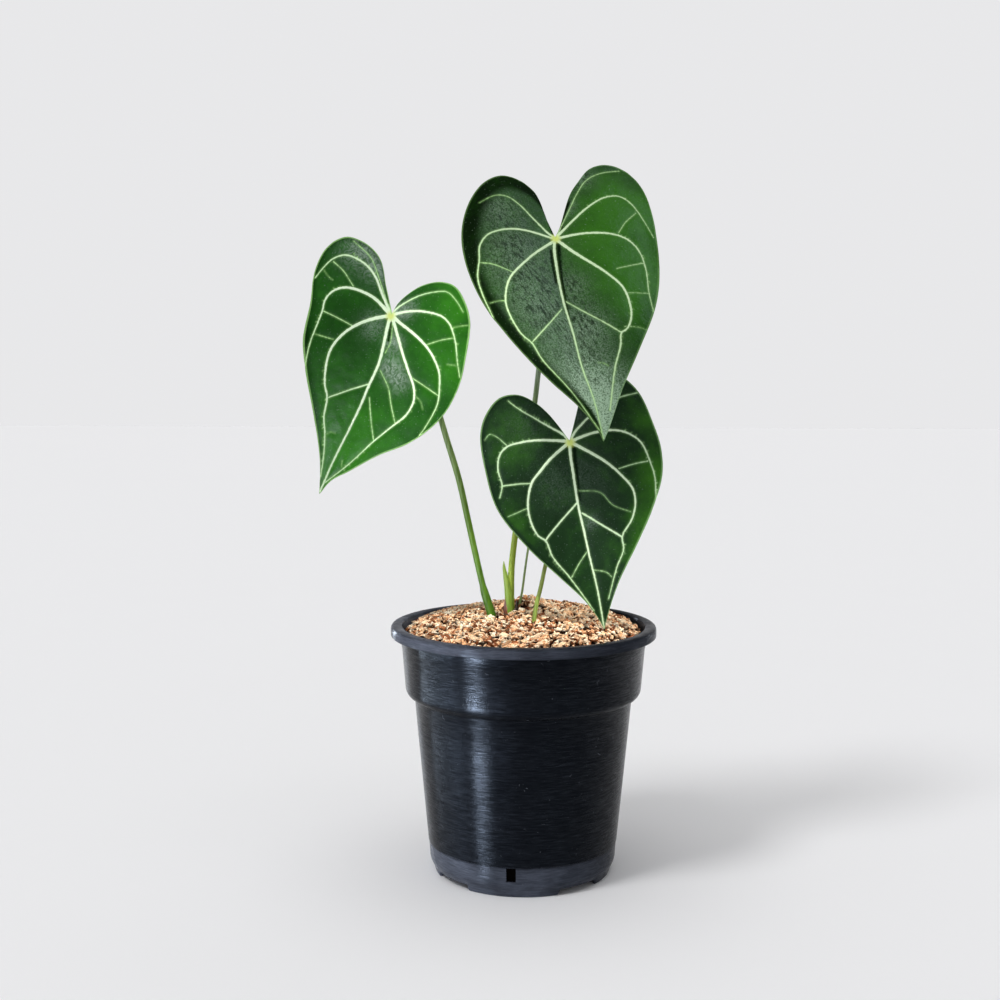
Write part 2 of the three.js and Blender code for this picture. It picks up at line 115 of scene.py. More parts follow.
def far_light(name, side, height, power, softness):
    """An even light from far away: its side in degrees right of the viewer, and its height."""
    data = bpy.data.lights.new(name, "SUN")
    data.energy = power
    data.angle = math.radians(softness)
    light = bpy.data.objects.new(name, data)
    light.rotation_euler = (math.radians(90 - height), 0, math.radians(side))
    bpy.context.scene.collection.objects.link(light)


far_light("key", -50, 50, 1.15, 16)
far_light("overhead", 0, 90, 1.12, 70)


def mouth_spot(name, place, aim, cone, power):
    """A narrow spot into the mouth of the pot, which doesn't show in the gloss."""
    light = lamp("SPOT", name, place, aim, power, SPOT_TINT)
    light.data.spot_size = math.radians(cone)
    light.data.spot_blend = SPOT_EDGE
    light.data.shadow_soft_size = SPOT_SOFTNESS
    light.visible_glossy = False
    return light


mouth_spots = [
    mouth_spot("bark_spot", (-0.25, -0.38, 1.13), (0, 0, 0.14), 7.8, 36),
    mouth_spot("bark_right", (0.75, -0.40, 0.60), (0.024, 0.010, 0.139), 5.8, 28),
]


def node(tree, kind, inputs=None, **settings):
    """Adds a node. An input is a value, or the output socket of another node."""
    made = tree.nodes.new("ShaderNode" + kind)
    for name, value in settings.items():
        setattr(made, name, value)
    for name, value in (inputs or {}).items():
        if isinstance(value, bpy.types.NodeSocket):
            tree.links.new(value, made.inputs[name])
        else:
            made.inputs[name].default_value = value
    return made


# These take their tree from the output socket that they are given first
def ranged(value, low, high, to_low=0.0, to_high=1.0):
    """A value led from one range to another and held at its ends."""
    ends = {"From Min": low, "From Max": high, "To Min": to_low, "To Max": to_high}
    return node(value.id_data, "MapRange", {"Value": value, **ends}).outputs["Result"]


def product(a, b, clamp=False):
    """One value times another, kept between 0 and 1 where it is clamped."""
    made = node(a.id_data, "Math", {0: a, 1: b}, operation="MULTIPLY", use_clamp=clamp)
    return made.outputs["Value"]


def ramped(value, *stops):
    """The tone at a value between rising stops of (value, tone). A number stands for a grey."""
    made = node(value.id_data, "ValToRGB", {"Fac": value})
    elements = made.color_ramp.elements
    elements[0].position, elements[1].position = stops[0][0], stops[-1][0]
    for at, _ in stops[1:-1]:
        elements.new(at)
    for element, (_, tone) in zip(elements, stops):
        element.color = (*tone, 1) if isinstance(tone, tuple) else (tone, tone, tone, 1)
    return made.outputs["Color"]


world = bpy.data.worlds.new("studio")
world.use_nodes = True
sky = world.node_tree
direction = node(sky, "SeparateXYZ", {"Vector": node(sky, "TexCoord").outputs["Generated"]})
glow = ranged(direction.outputs["Z"], *GLOW_HEIGHTS, GLOW_BELOW, GLOW_ABOVE)
across = ranged(direction.outputs["X"], -1.0, 1.0)
flags = ramped(
    across,
    (0.0, FLAGGED), (0.06, FLAGGED), (0.22, 1.0), (0.78, 1.0), (0.92, FLAGGED), (1.0, FLAGGED),
)
background = sky.nodes["Background"]
background.inputs["Color"].default_value = (0.985, 0.985, 1, 1)
sky.links.new(product(glow, flags), background.inputs["Strength"])
bpy.context.scene.world = world


def new_material(name, **shader):
    """A principled material, its tree, its shader and the place of each point on the piece."""
    material = bpy.data.materials.new(name)
    material.use_nodes = True
    tree = material.node_tree
    principled = tree.nodes["Principled BSDF"]
    for key, value in shader.items():
        principled.inputs[key.replace("_", " ")].default_value = value
    return material, tree, principled, node(tree, "TexCoord").outputs["Object"]


floor_mesh = bmesh.new()
bmesh.ops.create_grid(floor_mesh, x_segments=1, y_segments=1, size=FLOOR_REACH)
floor_data = bpy.data.meshes.new("floor")
floor_mesh.to_mesh(floor_data)
floor_mesh.free()
floor = bpy.data.objects.new("floor", floor_data)
bpy.context.scene.collection.objects.link(floor)
pale_floor, *_ = new_material(
    "pale_floor", Base_Color=(0.86, 0.86, 0.87, 1), Roughness=0.9, Specular_IOR_Level=0
)
floor_data.materials.append(pale_floor)

# What the two spots throw past the rim of the pot doesn't reach the floor
past_the_rim = bpy.data.collections.new("past_the_rim")
past_the_rim.objects.link(floor)
past_the_rim.collection_objects[0].light_linking.link_state = "EXCLUDE"
for spot in mouth_spots:
    spot.light_linking.receiver_collection = past_the_rim

# Pot
# A round nursery pot of black polypropylene, injection moulded: thin walls, a wider collar
# above a rounded shoulder, a turned-down rim, four feet with gaps and a slot over each foot.

METRES = 0.001
POT_STEPS = 192
POT_HEIGHT = 141.0
SHOULDER_CENTRE = (61.2, 106.0)
SHOULDER_ROUND = 5.6
SHOULDER_START = -68
FEET = 4
FOOT_HEIGHT = 3.6
FOOT_INSIDE = 47.5
FIRST_FOOT = math.radians(-97)
HALF_GAP = math.radians(15)
GAP_ROOF = 0.1
SLOT_LOW, SLOT_HIGH = 9.2, 17.2
HALF_SLOT = math.radians(3)
POT_CREASE = 28
POT_GLOSS = 0.065
RIM_GLOSS = 0.012

# Profiles of (radius, height), from the middle of the underside up, over and down inside
POT_SKIN = [
    (0, 2), (46, 2), (46.6, 3.6), (48.2, 3.6), (48.2, 0.3), (48.5, 0), (49.7, 0), (50, 0.3),
    (51, 3.6), (51.9, 5.2), (52.6, 6.8), (52.95, 8.4), (53.0, SLOT_LOW), (53.5, SLOT_HIGH),
    (53.5, 17.5), (53.9, 17.8), (59.9, 81), (61.6, 99.6), (61.9, 100.2), (62.6, 100.6),
]
POT_COLLAR = [(68.7, 128.8), (68.9, 129.2), (69.2, 135.0), (69.5, 139.2), (70, 139.7)]
POT_RIM = [
    (73.1, 139.5), (73.5, 139.1), (73.7, 138.2), (73.7, 135.6), (73.9, 135.4), (74.7, 135.4),
    (74.95, 135.7), (75, 137.5), (74.95, 139.4), (74.7, 140.2), (74.2, 140.7), (73.5, 140.95),
    (72.5, POT_HEIGHT), (69.4, POT_HEIGHT), (68.8, 140.7), (68.5, 140.2),
]
POT_INSIDE = [
    (68.2, 136), (67.5, 129), (65.5, 106), (65.3, 104.6), (64.6, 103.2), (63.4, 102.2),
    (61.4, 101.6), (60.4, 101.2), (60.2, 100.2), (58.5, 81), (52.3, 18), (52.2, SLOT_HIGH),
    (51.7, SLOT_LOW), (51.3, 7), (50.4, 5.4), (49.4, 4.6), (0, 4.6),
]


def turned_about(angle):
    """Angle wrapped to lie between -pi and pi."""
    return math.atan2(math.sin(angle), math.cos(angle))


def from_foot(angle):
    """How far a direction lies from the middle of the nearest foot."""
    return abs(turned_about((angle - FIRST_FOOT) * FEET) / FEET)


def spun(profile, steps):
    """A profile of (radius, height) turned once round the Z axis, in millimetres."""
    bm = bmesh.new()
    row = [bm.verts.new((r, 0, z)) for r, z in profile]
    edges = [bm.edges.new(pair) for pair in zip(row, row[1:])]
    bmesh.ops.spin(
        bm, geom=row + edges, axis=(0, 0, 1), angle=math.tau, steps=steps, use_merge=True
    )
    bmesh.ops.remove_doubles(bm, verts=bm.verts, dist=1e-3)
    bmesh.ops.recalc_face_normals(bm, faces=bm.faces)
    return bm


def finished(bm, name, material, slot, *nodes, crease=40):
    """Turns a mesh in millimetres into a piece of the plant that stands for these nodes."""
    bmesh.ops.scale(bm, vec=(METRES,) * 3, verts=bm.verts)
    data = bpy.data.meshes.new(name)
    bm.to_mesh(data)
    bm.free()
    data.polygons.foreach_set("use_smooth", [True] * len(data.polygons))
    data.set_sharp_from_angle(angle=math.radians(crease))
    data.materials.append(material)
    piece = bpy.data.objects.new(name, data)
    bpy.context.scene.collection.objects.link(piece)
    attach(piece, "root")
    if nodes:
        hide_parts(*nodes)


def shoulder_arc(steps):
    """The rounded shoulder below the collar, as a run of the profile."""
    centre, height = SHOULDER_CENTRE
    turns = [math.radians(SHOULDER_START * (1 - i / steps)) for i in range(steps + 1)]
    return [
        (centre + SHOULDER_ROUND * math.cos(t), height + SHOULDER_ROUND * math.sin(t))
        for t in turns
    ]


def heading(point):
    """The direction of a point from the pot's axis."""
    return math.atan2(point.y, point.x)


pot = spun(POT_SKIN + shoulder_arc(7) + POT_COLLAR + POT_RIM + POT_INSIDE, POT_STEPS)
for vert in pot.verts:
    in_ring = math.hypot(vert.co.x, vert.co.y) > FOOT_INSIDE
    in_gap = from_foot(heading(vert.co)) > math.pi / FEET - HALF_GAP
    if in_ring and in_gap and vert.co.z < FOOT_HEIGHT - 2 * GAP_ROOF:
        vert.co.z = FOOT_HEIGHT - GAP_ROOF * (1 - vert.co.z / FOOT_HEIGHT)
slot_faces = []
for face in pot.faces:
    middle = face.calc_center_median()
    if SLOT_LOW < middle.z < SLOT_HIGH and from_foot(heading(middle)) < HALF_SLOT:
        slot_faces.append(face)
slot_edges = [e for e in pot.edges if sum(face in slot_faces for face in e.link_faces) == 1]
bmesh.ops.delete(pot, geom=slot_faces, context="FACES")
for foot in range(FEET):
    aim = FIRST_FOOT + foot * math.tau / FEET
    rims = [e for e in slot_edges if abs(turned_about(heading(e.verts[0].co) - aim)) < HALF_GAP]
    bmesh.ops.bridge_loops(pot, edges=rims)
bmesh.ops.recalc_face_normals(pot, faces=pot.faces)


def mottled(place, scale, detail, **more):
    """A cloudy value from 0 to 1 over the surface."""
    inputs = {"Vector": place, "Scale": scale, "Detail": detail, **more}
    return node(place.id_data, "TexNoise", inputs).outputs["Fac"]


def mixed(share, under, over):
    """One colour laid over another by its share."""
    under, over = ((*tone, 1) if isinstance(tone, tuple) else tone for tone in (under, over))
    inputs = {"Factor": share, "A": under, "B": over}
    return node(share.id_data, "Mix", inputs, data_type="RGBA").outputs["Result"]


def bumped(height, strength, distance, **more):
    """Normals that follow a fine relief."""
    inputs = {"Height": height, "Strength": strength, "Distance": distance, **more}
    return node(height.id_data, "Bump", inputs).outputs["Normal"]


def feed(shader, **sources):
    """Leads outputs into the shader. Keyword names hold _ for spaces."""
    for key, source in sources.items():
        shader.id_data.links.new(source, shader.inputs[key.replace("_", " ")])


# Polished plastic with rings of fine scuffs, greyed along the foot and on the rim's front face,
# where the grey is a painted highlight, and greyed more on the left, as painted light
pot_plastic, tree, shader, place = new_material(
    "black_pot_plastic",
    Specular_Tint=(0.7, 0.82, 1, 1),
    Anisotropic=0.9,
    Anisotropic_Rotation=0.25,
)
around = node(tree, "Tangent", direction_type="RADIAL", axis="Z").outputs["Tangent"]
axes = node(tree, "SeparateXYZ", {"Vector": place}).outputs
grain = node(tree, "Mapping", {"Vector": place, "Scale": (120, 120, 1700)}).outputs["Vector"]
scuffs = mottled(grain, 1.0, 3.0, Roughness=0.7)
blotches = mottled(place, 38.0, 3.0)
knocks = mottled(place, 260.0, 2.0, Distortion=1.5)
worn = ranged(scuffs, 0.6, 0.78)
body = mixed(worn, (0.0012, 0.0018, 0.0032), (0.007, 0.009, 0.013))
# Grey along the foot band, and on the rim's front face as a painted highlight of its rounded edge,
# less on the rim's top
pale_bands_and_rim_highlight = ramped(
    ranged(axes["Z"], 0.0, POT_HEIGHT * METRES),
    (0.0, 1.0), (0.022, 1.0), (0.03, 0.95), (0.116, 0.85), (0.126, 0.05),
    (0.955, 0.04), (0.966, 0.8), (0.988, 0.9), (1.0, 0.35),
)
rubbed = ranged(blotches, 0.3, 0.7, 0.5, 1.0)
streaky = ranged(scuffs, 0.35, 0.65, 0.7, 1.25)
# Painted light: the greying fades from the pot's left side, where light falls, towards its right
painted_left_light = ranged(axes["X"], -0.05, 0.05, 1.0, 0.16)
greying_and_painted_light = product(pale_bands_and_rim_highlight, product(product(rubbed, streaky), painted_left_light))
greyed_and_painted_light = mixed(greying_and_painted_light, body, (0.145, 0.165, 0.22))
nicks = ranged(knocks, 0.715, 0.75, 0.0, 0.5)
sheen = ranged(axes["Z"], 0.133, 0.137, POT_GLOSS, RIM_GLOSS)
glints = ranged(scuffs, 0.42, 0.68, 0.65, 2.2)
feed(
    shader,
    Tangent=around,
    Base_Color=mixed(nicks, greyed_and_painted_light, (0.10, 0.11, 0.13)),
    Roughness=ranged(blotches, 0.3, 0.7, 0.21, 0.31),
    Specular_IOR_Level=product(sheen, glints),
    Normal=bumped(scuffs, 0.2, 0.0006),
)
finished(pot, "nursery_pot", pot_plastic, "pot", "pot", crease=POT_CREASE)

# Bark
# Fine-grade chips of pine bark, screened to a few millimetres and heaped loosely in the pot.
# Dark fines fill the spaces below the top layer of chips.

BARK_RADIUS = 67.4
BARK_EDGE_HEIGHT = 138.0
BARK_HEAP = 7.5
BARK_SLOPE = 0.05
MOUTH_RADIUS = 68.5
DIP_START = 58
EDGE_DIP = 2.0
FINES_STEPS = 120
FINES_DEPTH = 2.2
FINES_LUMPS = 0.9
CLUMP_SCALE = 0.3
THIN_PATCH, THIN_SHARE = -0.08, 0.72
CHIP_COUNT = 3900
CHIP_THICKNESS = 0.6
CHIP_CREASE = 25
CHIP_LENGTHS = (0.5, 0.4)
LONGEST_CHIP = 3.6
CHIP_WIDTHS = (0.25, 0.6)
CHIP_LEVELS = (-1.6, 0.6)
CLUMP_LIFT = 1.8
HIGHEST_CHIP = 1.5
STEEPEST_CHIP = 0.7

# Rises in the heap: x, y, height and reach
BARK_RISES = [(3.0, 22.0, 5.0, 9.0), (8.0, 26.0, 2.6, 34.0)]

# Where a stem comes out of the bark: x, y and the radius that chips keep clear of
STEM_FEET = [(-7.9, 6.2, 3.2), (-17.9, -1.0, 2.7), (5.9, -13.5, 1.5), (-2.2, 14.0, 1.0)]


def held(value, low=0, high=1):
    """A value kept between two limits."""
    return min(max(value, low), high)


def bark_height(x, y):
    """The height of the heap's surface at this place."""
    r = math.hypot(x, y)
    share = held((r - DIP_START) / (MOUTH_RADIUS - DIP_START))
    dip = EDGE_DIP * share * share * (3 - 2 * share)
    height = BARK_EDGE_HEIGHT + BARK_HEAP * (1 - (r / MOUTH_RADIUS) ** 2) + BARK_SLOPE * y - dip
    for rise_x, rise_y, rise, reach in BARK_RISES:
        height += rise * math.exp(-((x - rise_x) ** 2 + (y - rise_y) ** 2) / reach**2)
    return height


def clumps(x, y):
    """Where the chips lie closer and higher, above 0, or thinner and lower, below 0."""
    return noise.noise((CLUMP_SCALE * x, CLUMP_SCALE * y, 7))


fines_profile = [(0, 4.9), (49, 4.9), (51.4, 9.2), (59.9, 100), (64.6, 106), (67.2, 133)]
fines_profile += [(BARK_RADIUS * (1 - i / 30), POT_HEIGHT) for i in range(31)]
fines = spun(fines_profile, FINES_STEPS)
for vert in fines.verts:
    x, y, z = vert.co
    if z > POT_HEIGHT - 1:
        vert.co.z = bark_height(x, y) - FINES_DEPTH + FINES_LUMPS * clumps(x, y)

fines_matter, tree, shader, place = new_material(
    "bark_fines", Roughness=0.95, Specular_IOR_Level=0
)
height = node(tree, "SeparateXYZ", {"Vector": place}).outputs["Z"]
crumbs = mottled(place, 900.0, 4.0)
tone = ramped(crumbs, (0.35, (0.006, 0.003, 0.002)), (0.75, (0.05, 0.018, 0.008)))
# Painted shade: the fines turn near black towards the bottom of the pot, where they lie in its
# shade
painted_shade_below = ranged(height, 0.05, 0.12, 0.97, 0.0)
feed(
    shader,
    Base_Color=mixed(painted_shade_below, tone, (0.002, 0.002, 0.002)),
    Normal=bumped(crumbs, 0.8, 0.001),
)
finished(fines, "bark_fines", fines_matter, "bark", "bark")


def clear_of_stems(x, y, reach):
    return all(math.hypot(x - sx, y - sy) > r + reach for sx, sy, r in STEM_FEET)


draw = random.Random(11)
flakes = []
while len(flakes) < CHIP_COUNT:
    x = draw.uniform(-BARK_RADIUS, BARK_RADIUS)
    y = draw.uniform(-BARK_RADIUS, BARK_RADIUS)
    length = min(draw.lognormvariate(*CHIP_LENGTHS), LONGEST_CHIP)
    past_wall = math.hypot(x, y) > BARK_RADIUS - 0.8 * length
    if past_wall or not clear_of_stems(x, y, 0.45 * length):
        continue
    crowding = clumps(x, y)
    if crowding < THIN_PATCH and draw.random() < THIN_SHARE:
        continue
    turn = (
        Matrix.Rotation(draw.uniform(0, math.tau), 4, "Z")
        @ Matrix.Rotation(held(draw.gauss(0, 0.5), -STEEPEST_CHIP, STEEPEST_CHIP), 4, "Y")
        @ Matrix.Rotation(draw.gauss(0, 0.9), 4, "X")
    )
    height = bark_height(x, y) + draw.uniform(*CHIP_LEVELS) + CLUMP_LIFT * crowding
    width = length * draw.uniform(*CHIP_WIDTHS)
    curl, tone = draw.gauss(0, 0.5), draw.random()
    flakes.append((Matrix.Translation((x, y, height)) @ turn, length, width, curl, tone))

# One grid gives two rows of points to each chip, and the faces between chips are cut away
chips = bmesh.new()
chip_rows = 2 * CHIP_COUNT - 1
bmesh.ops.create_grid(chips, x_segments=3, y_segments=chip_rows, size=0.5)
between = [f for f in chips.faces if int((f.calc_center_median().y + 0.5) * chip_rows) % 2]
bmesh.ops.delete(chips, geom=between, context="FACES")
tones = chips.verts.layers.float.new("chip_tone")
depths = chips.verts.layers.float.new("chip_depth")
for vert in chips.verts:
    row = round((vert.co.y + 0.5) * chip_rows)
    along = 2 * vert.co.x
    where, length, width, curl, tone = flakes[row // 2]
    across = (2 * (row % 2) - 1) * width * (1 - 0.45 * along * along)
    across += 0.2 * draw.gauss(0, 1) * width
    lift = curl * length * (along * along - 0.4) + 0.12 * draw.gauss(0, 1) * length
    reach = 0.9 * length * along + 0.1 * draw.gauss(0, 1) * length
    vert.co = where @ Vector((reach, across, lift))
    surface = bark_height(vert.co.x, vert.co.y)
    vert.co.z = min(vert.co.z, surface + HIGHEST_CHIP)
    vert[tones] = tone
    vert[depths] = surface - vert.co.z
bmesh.ops.recalc_face_normals(chips, faces=chips.faces)
bmesh.ops.solidify(chips, geom=chips.faces[:], thickness=CHIP_THICKNESS)


def own_value(tree, name):
    """What a piece's mesh holds at each point under this name."""
    return node(tree, "Attribute", attribute_name=name).outputs["Fac"]


chip_bark, tree, shader, place = new_material(
    "bark_chips", Roughness=0.85, Specular_IOR_Level=0.15
)
grain = mottled(place, 1500.0, 3.0, Roughness=0.6)
tone = ramped(
    own_value(tree, "chip_tone"),
    (0.0, (0.10, 0.03, 0.01)),
    (0.16, (0.38, 0.13, 0.05)),
    (0.30, (0.90, 0.49, 0.25)),
    (0.58, (1.0, 0.70, 0.44)),
    (1.0, (1.0, 0.90, 0.70)),
)
shade = ranged(grain, 0.38, 0.62, 0.45, 1.2)
darkening = {"Factor": 1.0, "A": tone, "B": shade}
dappled = node(tree, "Mix", darkening, data_type="RGBA", blend_type="MULTIPLY")
# Painted shade: chips are darkened towards near black the further they lie below the surface of the
# heap
painted_shade_deep = ranged(own_value(tree, "chip_depth"), 0.0, HIGHEST_CHIP, 0.0, 0.96)
feed(
    shader,
    Base_Color=mixed(painted_shade_deep, dappled.outputs["Result"], (0.02, 0.005, 0.001)),
    Normal=bumped(grain, 0.5, 0.0006),
)
finished(chips, "bark_chips", chip_bark, "bark", crease=CHIP_CREASE)

# Petioles
# Round, firm leaf stalks that rise from the crown, thin out and end in a swollen knee behind
# the blade. The top one keeps the green sheath of its foot, the left one a clasping base.

KNEE = 4.0
KNEE_DEPTH = 1.7
JOINT_BELOW_SINUS = 2.0
STEM_DEPTH = 10.0
CURVE_STEPS = 24


def smooth_line(points, count):
    """Evenly spaced points on the centripetal Catmull-Rom curve through these points."""
    p = np.array(points, float)
    p = np.vstack([2 * p[0] - p[1], p, 2 * p[-1] - p[-2]])
    dense = []
    for a, b, c, d in zip(p, p[1:], p[2:], p[3:]):
        steps = [np.linalg.norm(q - o) ** 0.5 for o, q in ((a, b), (b, c), (c, d))]
        t1 = steps[0]
        t2 = t1 + steps[1]
        t3 = t2 + steps[2]
        t = np.linspace(t1, t2, CURVE_STEPS, endpoint=False)[:, None]
        ab = (t1 - t) / t1 * a + t / t1 * b
        bc = (t2 - t) / (t2 - t1) * b + (t - t1) / (t2 - t1) * c
        cd = (t3 - t) / (t3 - t2) * c + (t - t2) / (t3 - t2) * d
        abc = (t2 - t) / t2 * ab + t / t2 * bc
        bcd = (t3 - t) / (t3 - t1) * bc + (t - t1) / (t3 - t1) * cd
        dense.append((t2 - t) / (t2 - t1) * abc + (t - t1) / (t2 - t1) * bcd)
    dense = np.vstack([*dense, p[-2:-1]])
    length = np.concatenate([[0], np.cumsum(np.linalg.norm(np.diff(dense, axis=0), axis=1))])
    at = np.linspace(0, length[-1], count)
    return np.stack([np.interp(at, length, dense[:, k]) for k in range(p.shape[1])], axis=1)


def blade_place(sinus, turn, tilt, roll):
    """From a blade's own frame, with its origin at the sinus, to the pot's."""
    return (
        Matrix.Translation(sinus)
        @ Matrix.Rotation(math.radians(turn), 4, "Z")
        @ Matrix.Rotation(math.radians(90 - tilt), 4, "X")
        @ Matrix.Rotation(math.radians(roll), 4, "Z")
    )


TOP_BLADE = blade_place((16.5, -4, 357), 8, 24, 9)
LEFT_BLADE = blade_place((-73.5, -8, 314.5), -14, 8, -21)
LOW_BLADE = blade_place((25, -14, 245.5), 6, 4, 10.5)


def stem_mesh(points, radii, rings, sides=24, blade=None, flute=0.0):
    """A stalk through these points with its radius by share of length, closed at both ends."""
    route = [Vector(points[0]) - Vector((0, 0, STEM_DEPTH)), *points]
    if blade is not None:
        for depth in (KNEE_DEPTH + KNEE, KNEE_DEPTH):
            route.append(blade @ Vector((0, -JOINT_BELOW_SINUS, -depth)))
    line = smooth_line([tuple(p) for p in route], rings + 1)
    shares = [share for share, _ in radii]
    sizes = [size for _, size in radii]
    stem = bmesh.new()
    bmesh.ops.create_grid(stem, x_segments=sides, y_segments=rings + 2, size=0.5)
    along = stem.verts.layers.float.new("along_stem")
    side = Vector((1, 0, 0))
    frames = []
    for i in range(rings + 1):
        ahead = Vector(line[min(i + 1, rings)] - line[max(i - 1, 0)]).normalized()
        side = (side - ahead * side.dot(ahead)).normalized()
        frames.append((Vector(line[i]), side, ahead.cross(side)))
    for vert in stem.verts:
        angle = (vert.co.x + 0.5) * math.tau
        row = round((vert.co.y + 0.5) * (rings + 2)) - 1
        capped = row < 0 or row > rings
        row = held(row, 0, rings)
        share = row / rings
        size = 0 if capped else float(np.interp(share, shares, sizes))
        size *= 1 + flute * math.cos(3 * angle + 1) * (1 - share)
        centre, right, front = frames[row]
        vert.co = centre + size * (math.cos(angle) * right + math.sin(angle) * front)
        vert[along] = share
    bmesh.ops.remove_doubles(stem, verts=stem.verts, dist=1e-3)
    bmesh.ops.recalc_face_normals(stem, faces=stem.faces)
    return stem


def stem_skin(name, foot, middle, top, dark):
    """Green skin that changes tone from foot to knee, flecked and finely streaked lengthways."""
    material, tree, shader, place = new_material(name, Roughness=0.5, Specular_IOR_Level=0.05)
    tone = ramped(own_value(tree, "along_stem"), (0.0, foot), (0.35, middle), (0.7, top))
    fibres = node(tree, "Mapping", {"Vector": place, "Scale": (700, 700, 45)}).outputs["Vector"]
    streaks = mottled(fibres, 1.0, 3.0)
    fleck = ranged(streaks, 0.5, 0.7, 0.0, 0.5)
    relief = bumped(streaks, 0.2, 0.0003)
    feed(shader, Base_Color=mixed(fleck, tone, dark), Normal=relief)
    return material


top_stem = stem_mesh(
    [(-7.2, 6.3, 146), (-7, 6.8, 170), (-5.3, 8, 187.5), (0, 9, 226), (6, 9, 267), (7.8, 9, 283),
     (11.8, 7.5, 317), (14.6, 4.5, 342)],
    [(0, 2.3), (0.08, 2.0), (0.2, 1.75), (0.6, 1.5), (0.93, 1.35), (0.97, 1.55), (1, 1.5)],
    rings=110,
    blade=TOP_BLADE,
)
top_skin = stem_skin(
    "top_petiole_skin",
    foot=(0.32, 0.46, 0.05),
    middle=(0.32, 0.42, 0.05),
    top=(0.25, 0.32, 0.25),
    dark=(0.07, 0.12, 0.03),
)
finished(top_stem, "petiole_top_skin", top_skin, "petiole", "petiole_top")

sheath = stem_mesh(
    [(-8.1, 5.2, 150), (-9.0, 5.0, 160), (-10.4, 5.0, 168), (-11.1, 5.2, 172), (-11.3, 5.4, 175.8)],
    [(0, 2.6), (0.45, 2.2), (0.66, 1.7), (0.82, 1.2), (0.93, 0.7), (1, 0.15)],
    rings=40,
)
sheath_skin = stem_skin(
    "sheath_skin",
    foot=(0.22, 0.36, 0.04),
    middle=(0.26, 0.42, 0.06),
    top=(0.30, 0.44, 0.08),
    dark=(0.12, 0.20, 0.02),
)
finished(sheath, "petiole_sheath", sheath_skin, "petiole")

left_stem = stem_mesh(
    [(-17.9, -1, 144.5), (-22.4, 0, 160), (-26.5, 1, 177), (-31.6, 3, 199.5), (-36.7, 4, 222),
     (-43.7, 5, 245), (-53.3, 5, 275.5), (-65.5, 3, 300.5)],
    [(0, 2.5), (0.12, 2.35), (0.135, 2.2), (0.15, 1.75), (0.5, 1.8), (0.8, 1.5), (0.94, 1.4),
     (0.975, 1.6), (1, 1.5)],
    rings=110,
    blade=LEFT_BLADE,
)
left_skin = stem_skin(
    "left_petiole_skin",
    foot=(0.06, 0.17, 0.012),
    middle=(0.17, 0.32, 0.04),
    top=(0.36, 0.48, 0.20),
    dark=(0.02, 0.06, 0.005),
)
finished(left_stem, "petiole_left_skin", left_skin, "petiole", "petiole_left")

low_stem = stem_mesh(
    [(5.9, -13.5, 144), (7.1, -13, 153.8), (9.2, -12, 162), (11.6, -11, 173.5), (16.2, -9, 195.5),
     (20.6, -8, 218), (23.7, -8.5, 234)],
    [(0, 1.25), (0.3, 1.15), (0.9, 1.2), (0.96, 1.45), (1, 1.4)],
    rings=80,
    blade=LOW_BLADE,
)
low_skin = stem_skin(
    "low_petiole_skin",
    foot=(0.22, 0.34, 0.07),
    middle=(0.30, 0.40, 0.09),
    top=(0.2, 0.3, 0.07),
    dark=(0.14, 0.13, 0.03),
)
finished(low_stem, "petiole_low_skin", low_skin, "petiole", "petiole_low")

# Young stalk
# The newest shoot, thin as a wire and pale green, which grows from the crown like the others.
# A leaf still rolled into a narrow spindle stands at its end.

young = stem_mesh(
    [(-2.2, 14, 149), (-0.7, 13.5, 158), (0.8, 13, 170), (2.4, 12.5, 181.5), (5.4, 12, 198),
     (8, 11.5, 212), (10.5, 11.5, 226)],
    [(0, 0.7), (0.6, 0.6), (0.68, 0.7), (0.74, 1.1), (0.88, 1), (0.96, 0.6), (1, 0.2)],
    rings=70,
    sides=16,
    flute=0.05,
)
young_skin = stem_skin(
    "young_stalk_skin",
    foot=(0.30, 0.42, 0.18),
    middle=(0.36, 0.50, 0.22),
    top=(0.24, 0.38, 0.11),
    dark=(0.14, 0.20, 0.07),
)
finished(young, "young_stalk_skin", young_skin, "petiole", "young_stalk")

# Crown
# The short stem that every petiole comes from, corky and half buried, with the papery brown
# remains of old scales standing round the foot of the top petiole.

CROWN_CENTRE = (-7.0, 6.8)
CROWN_ROUGHNESS = 0.35
BURIED_BELOW = 140
CROWN_STEPS = 48
SCALE_AXIS = (-7.2, 6.3)
SCALE_FOOT = 142
SCALE_THICKNESS = 0.35
SCALE_POINT = 2.2

crown_profile = [
    (0, 130), (4.4, 130), (6.2, 136), (6.2, 144), (5.2, 145.6), (3.6, 146.2), (0, 146.3)
]
crown = spun(crown_profile, CROWN_STEPS)
for vert in crown.verts:
    if vert.co.z > BURIED_BELOW:
        vert.co.z += CROWN_ROUGHNESS * noise.noise(vert.co * 0.6)
bmesh.ops.translate(crown, vec=(*CROWN_CENTRE, 0), verts=crown.verts)


def dry_scale(top, facing, half_angle, foot_radius, top_radius, curl):
    """A pointed papery scale round the petiole, wide at its foot, its edge a little crumpled."""
    scale = bmesh.new()
    bmesh.ops.create_grid(scale, x_segments=28, y_segments=24, size=0.5)
    for vert in scale.verts:
        across = 2 * vert.co.x
        up = vert.co.y + 0.5
        angle = math.radians(facing + half_angle * across * (1 - 0.88 * up**SCALE_POINT))
        crumple = curl * up * noise.noise((3 * across, 4 * up, facing))
        radius = foot_radius + (top_radius - foot_radius) * up + crumple
        x = SCALE_AXIS[0] + radius * math.cos(angle)
        y = SCALE_AXIS[1] + radius * math.sin(angle)
        vert.co = (x, y, SCALE_FOOT + (top - SCALE_FOOT) * up)
    bmesh.ops.remove_doubles(scale, verts=scale.verts, dist=1e-3)
    bmesh.ops.recalc_face_normals(scale, faces=scale.faces)
    bmesh.ops.solidify(scale, geom=scale.faces[:], thickness=SCALE_THICKNESS)
    bmesh.ops.recalc_face_normals(scale, faces=scale.faces)
    return scale


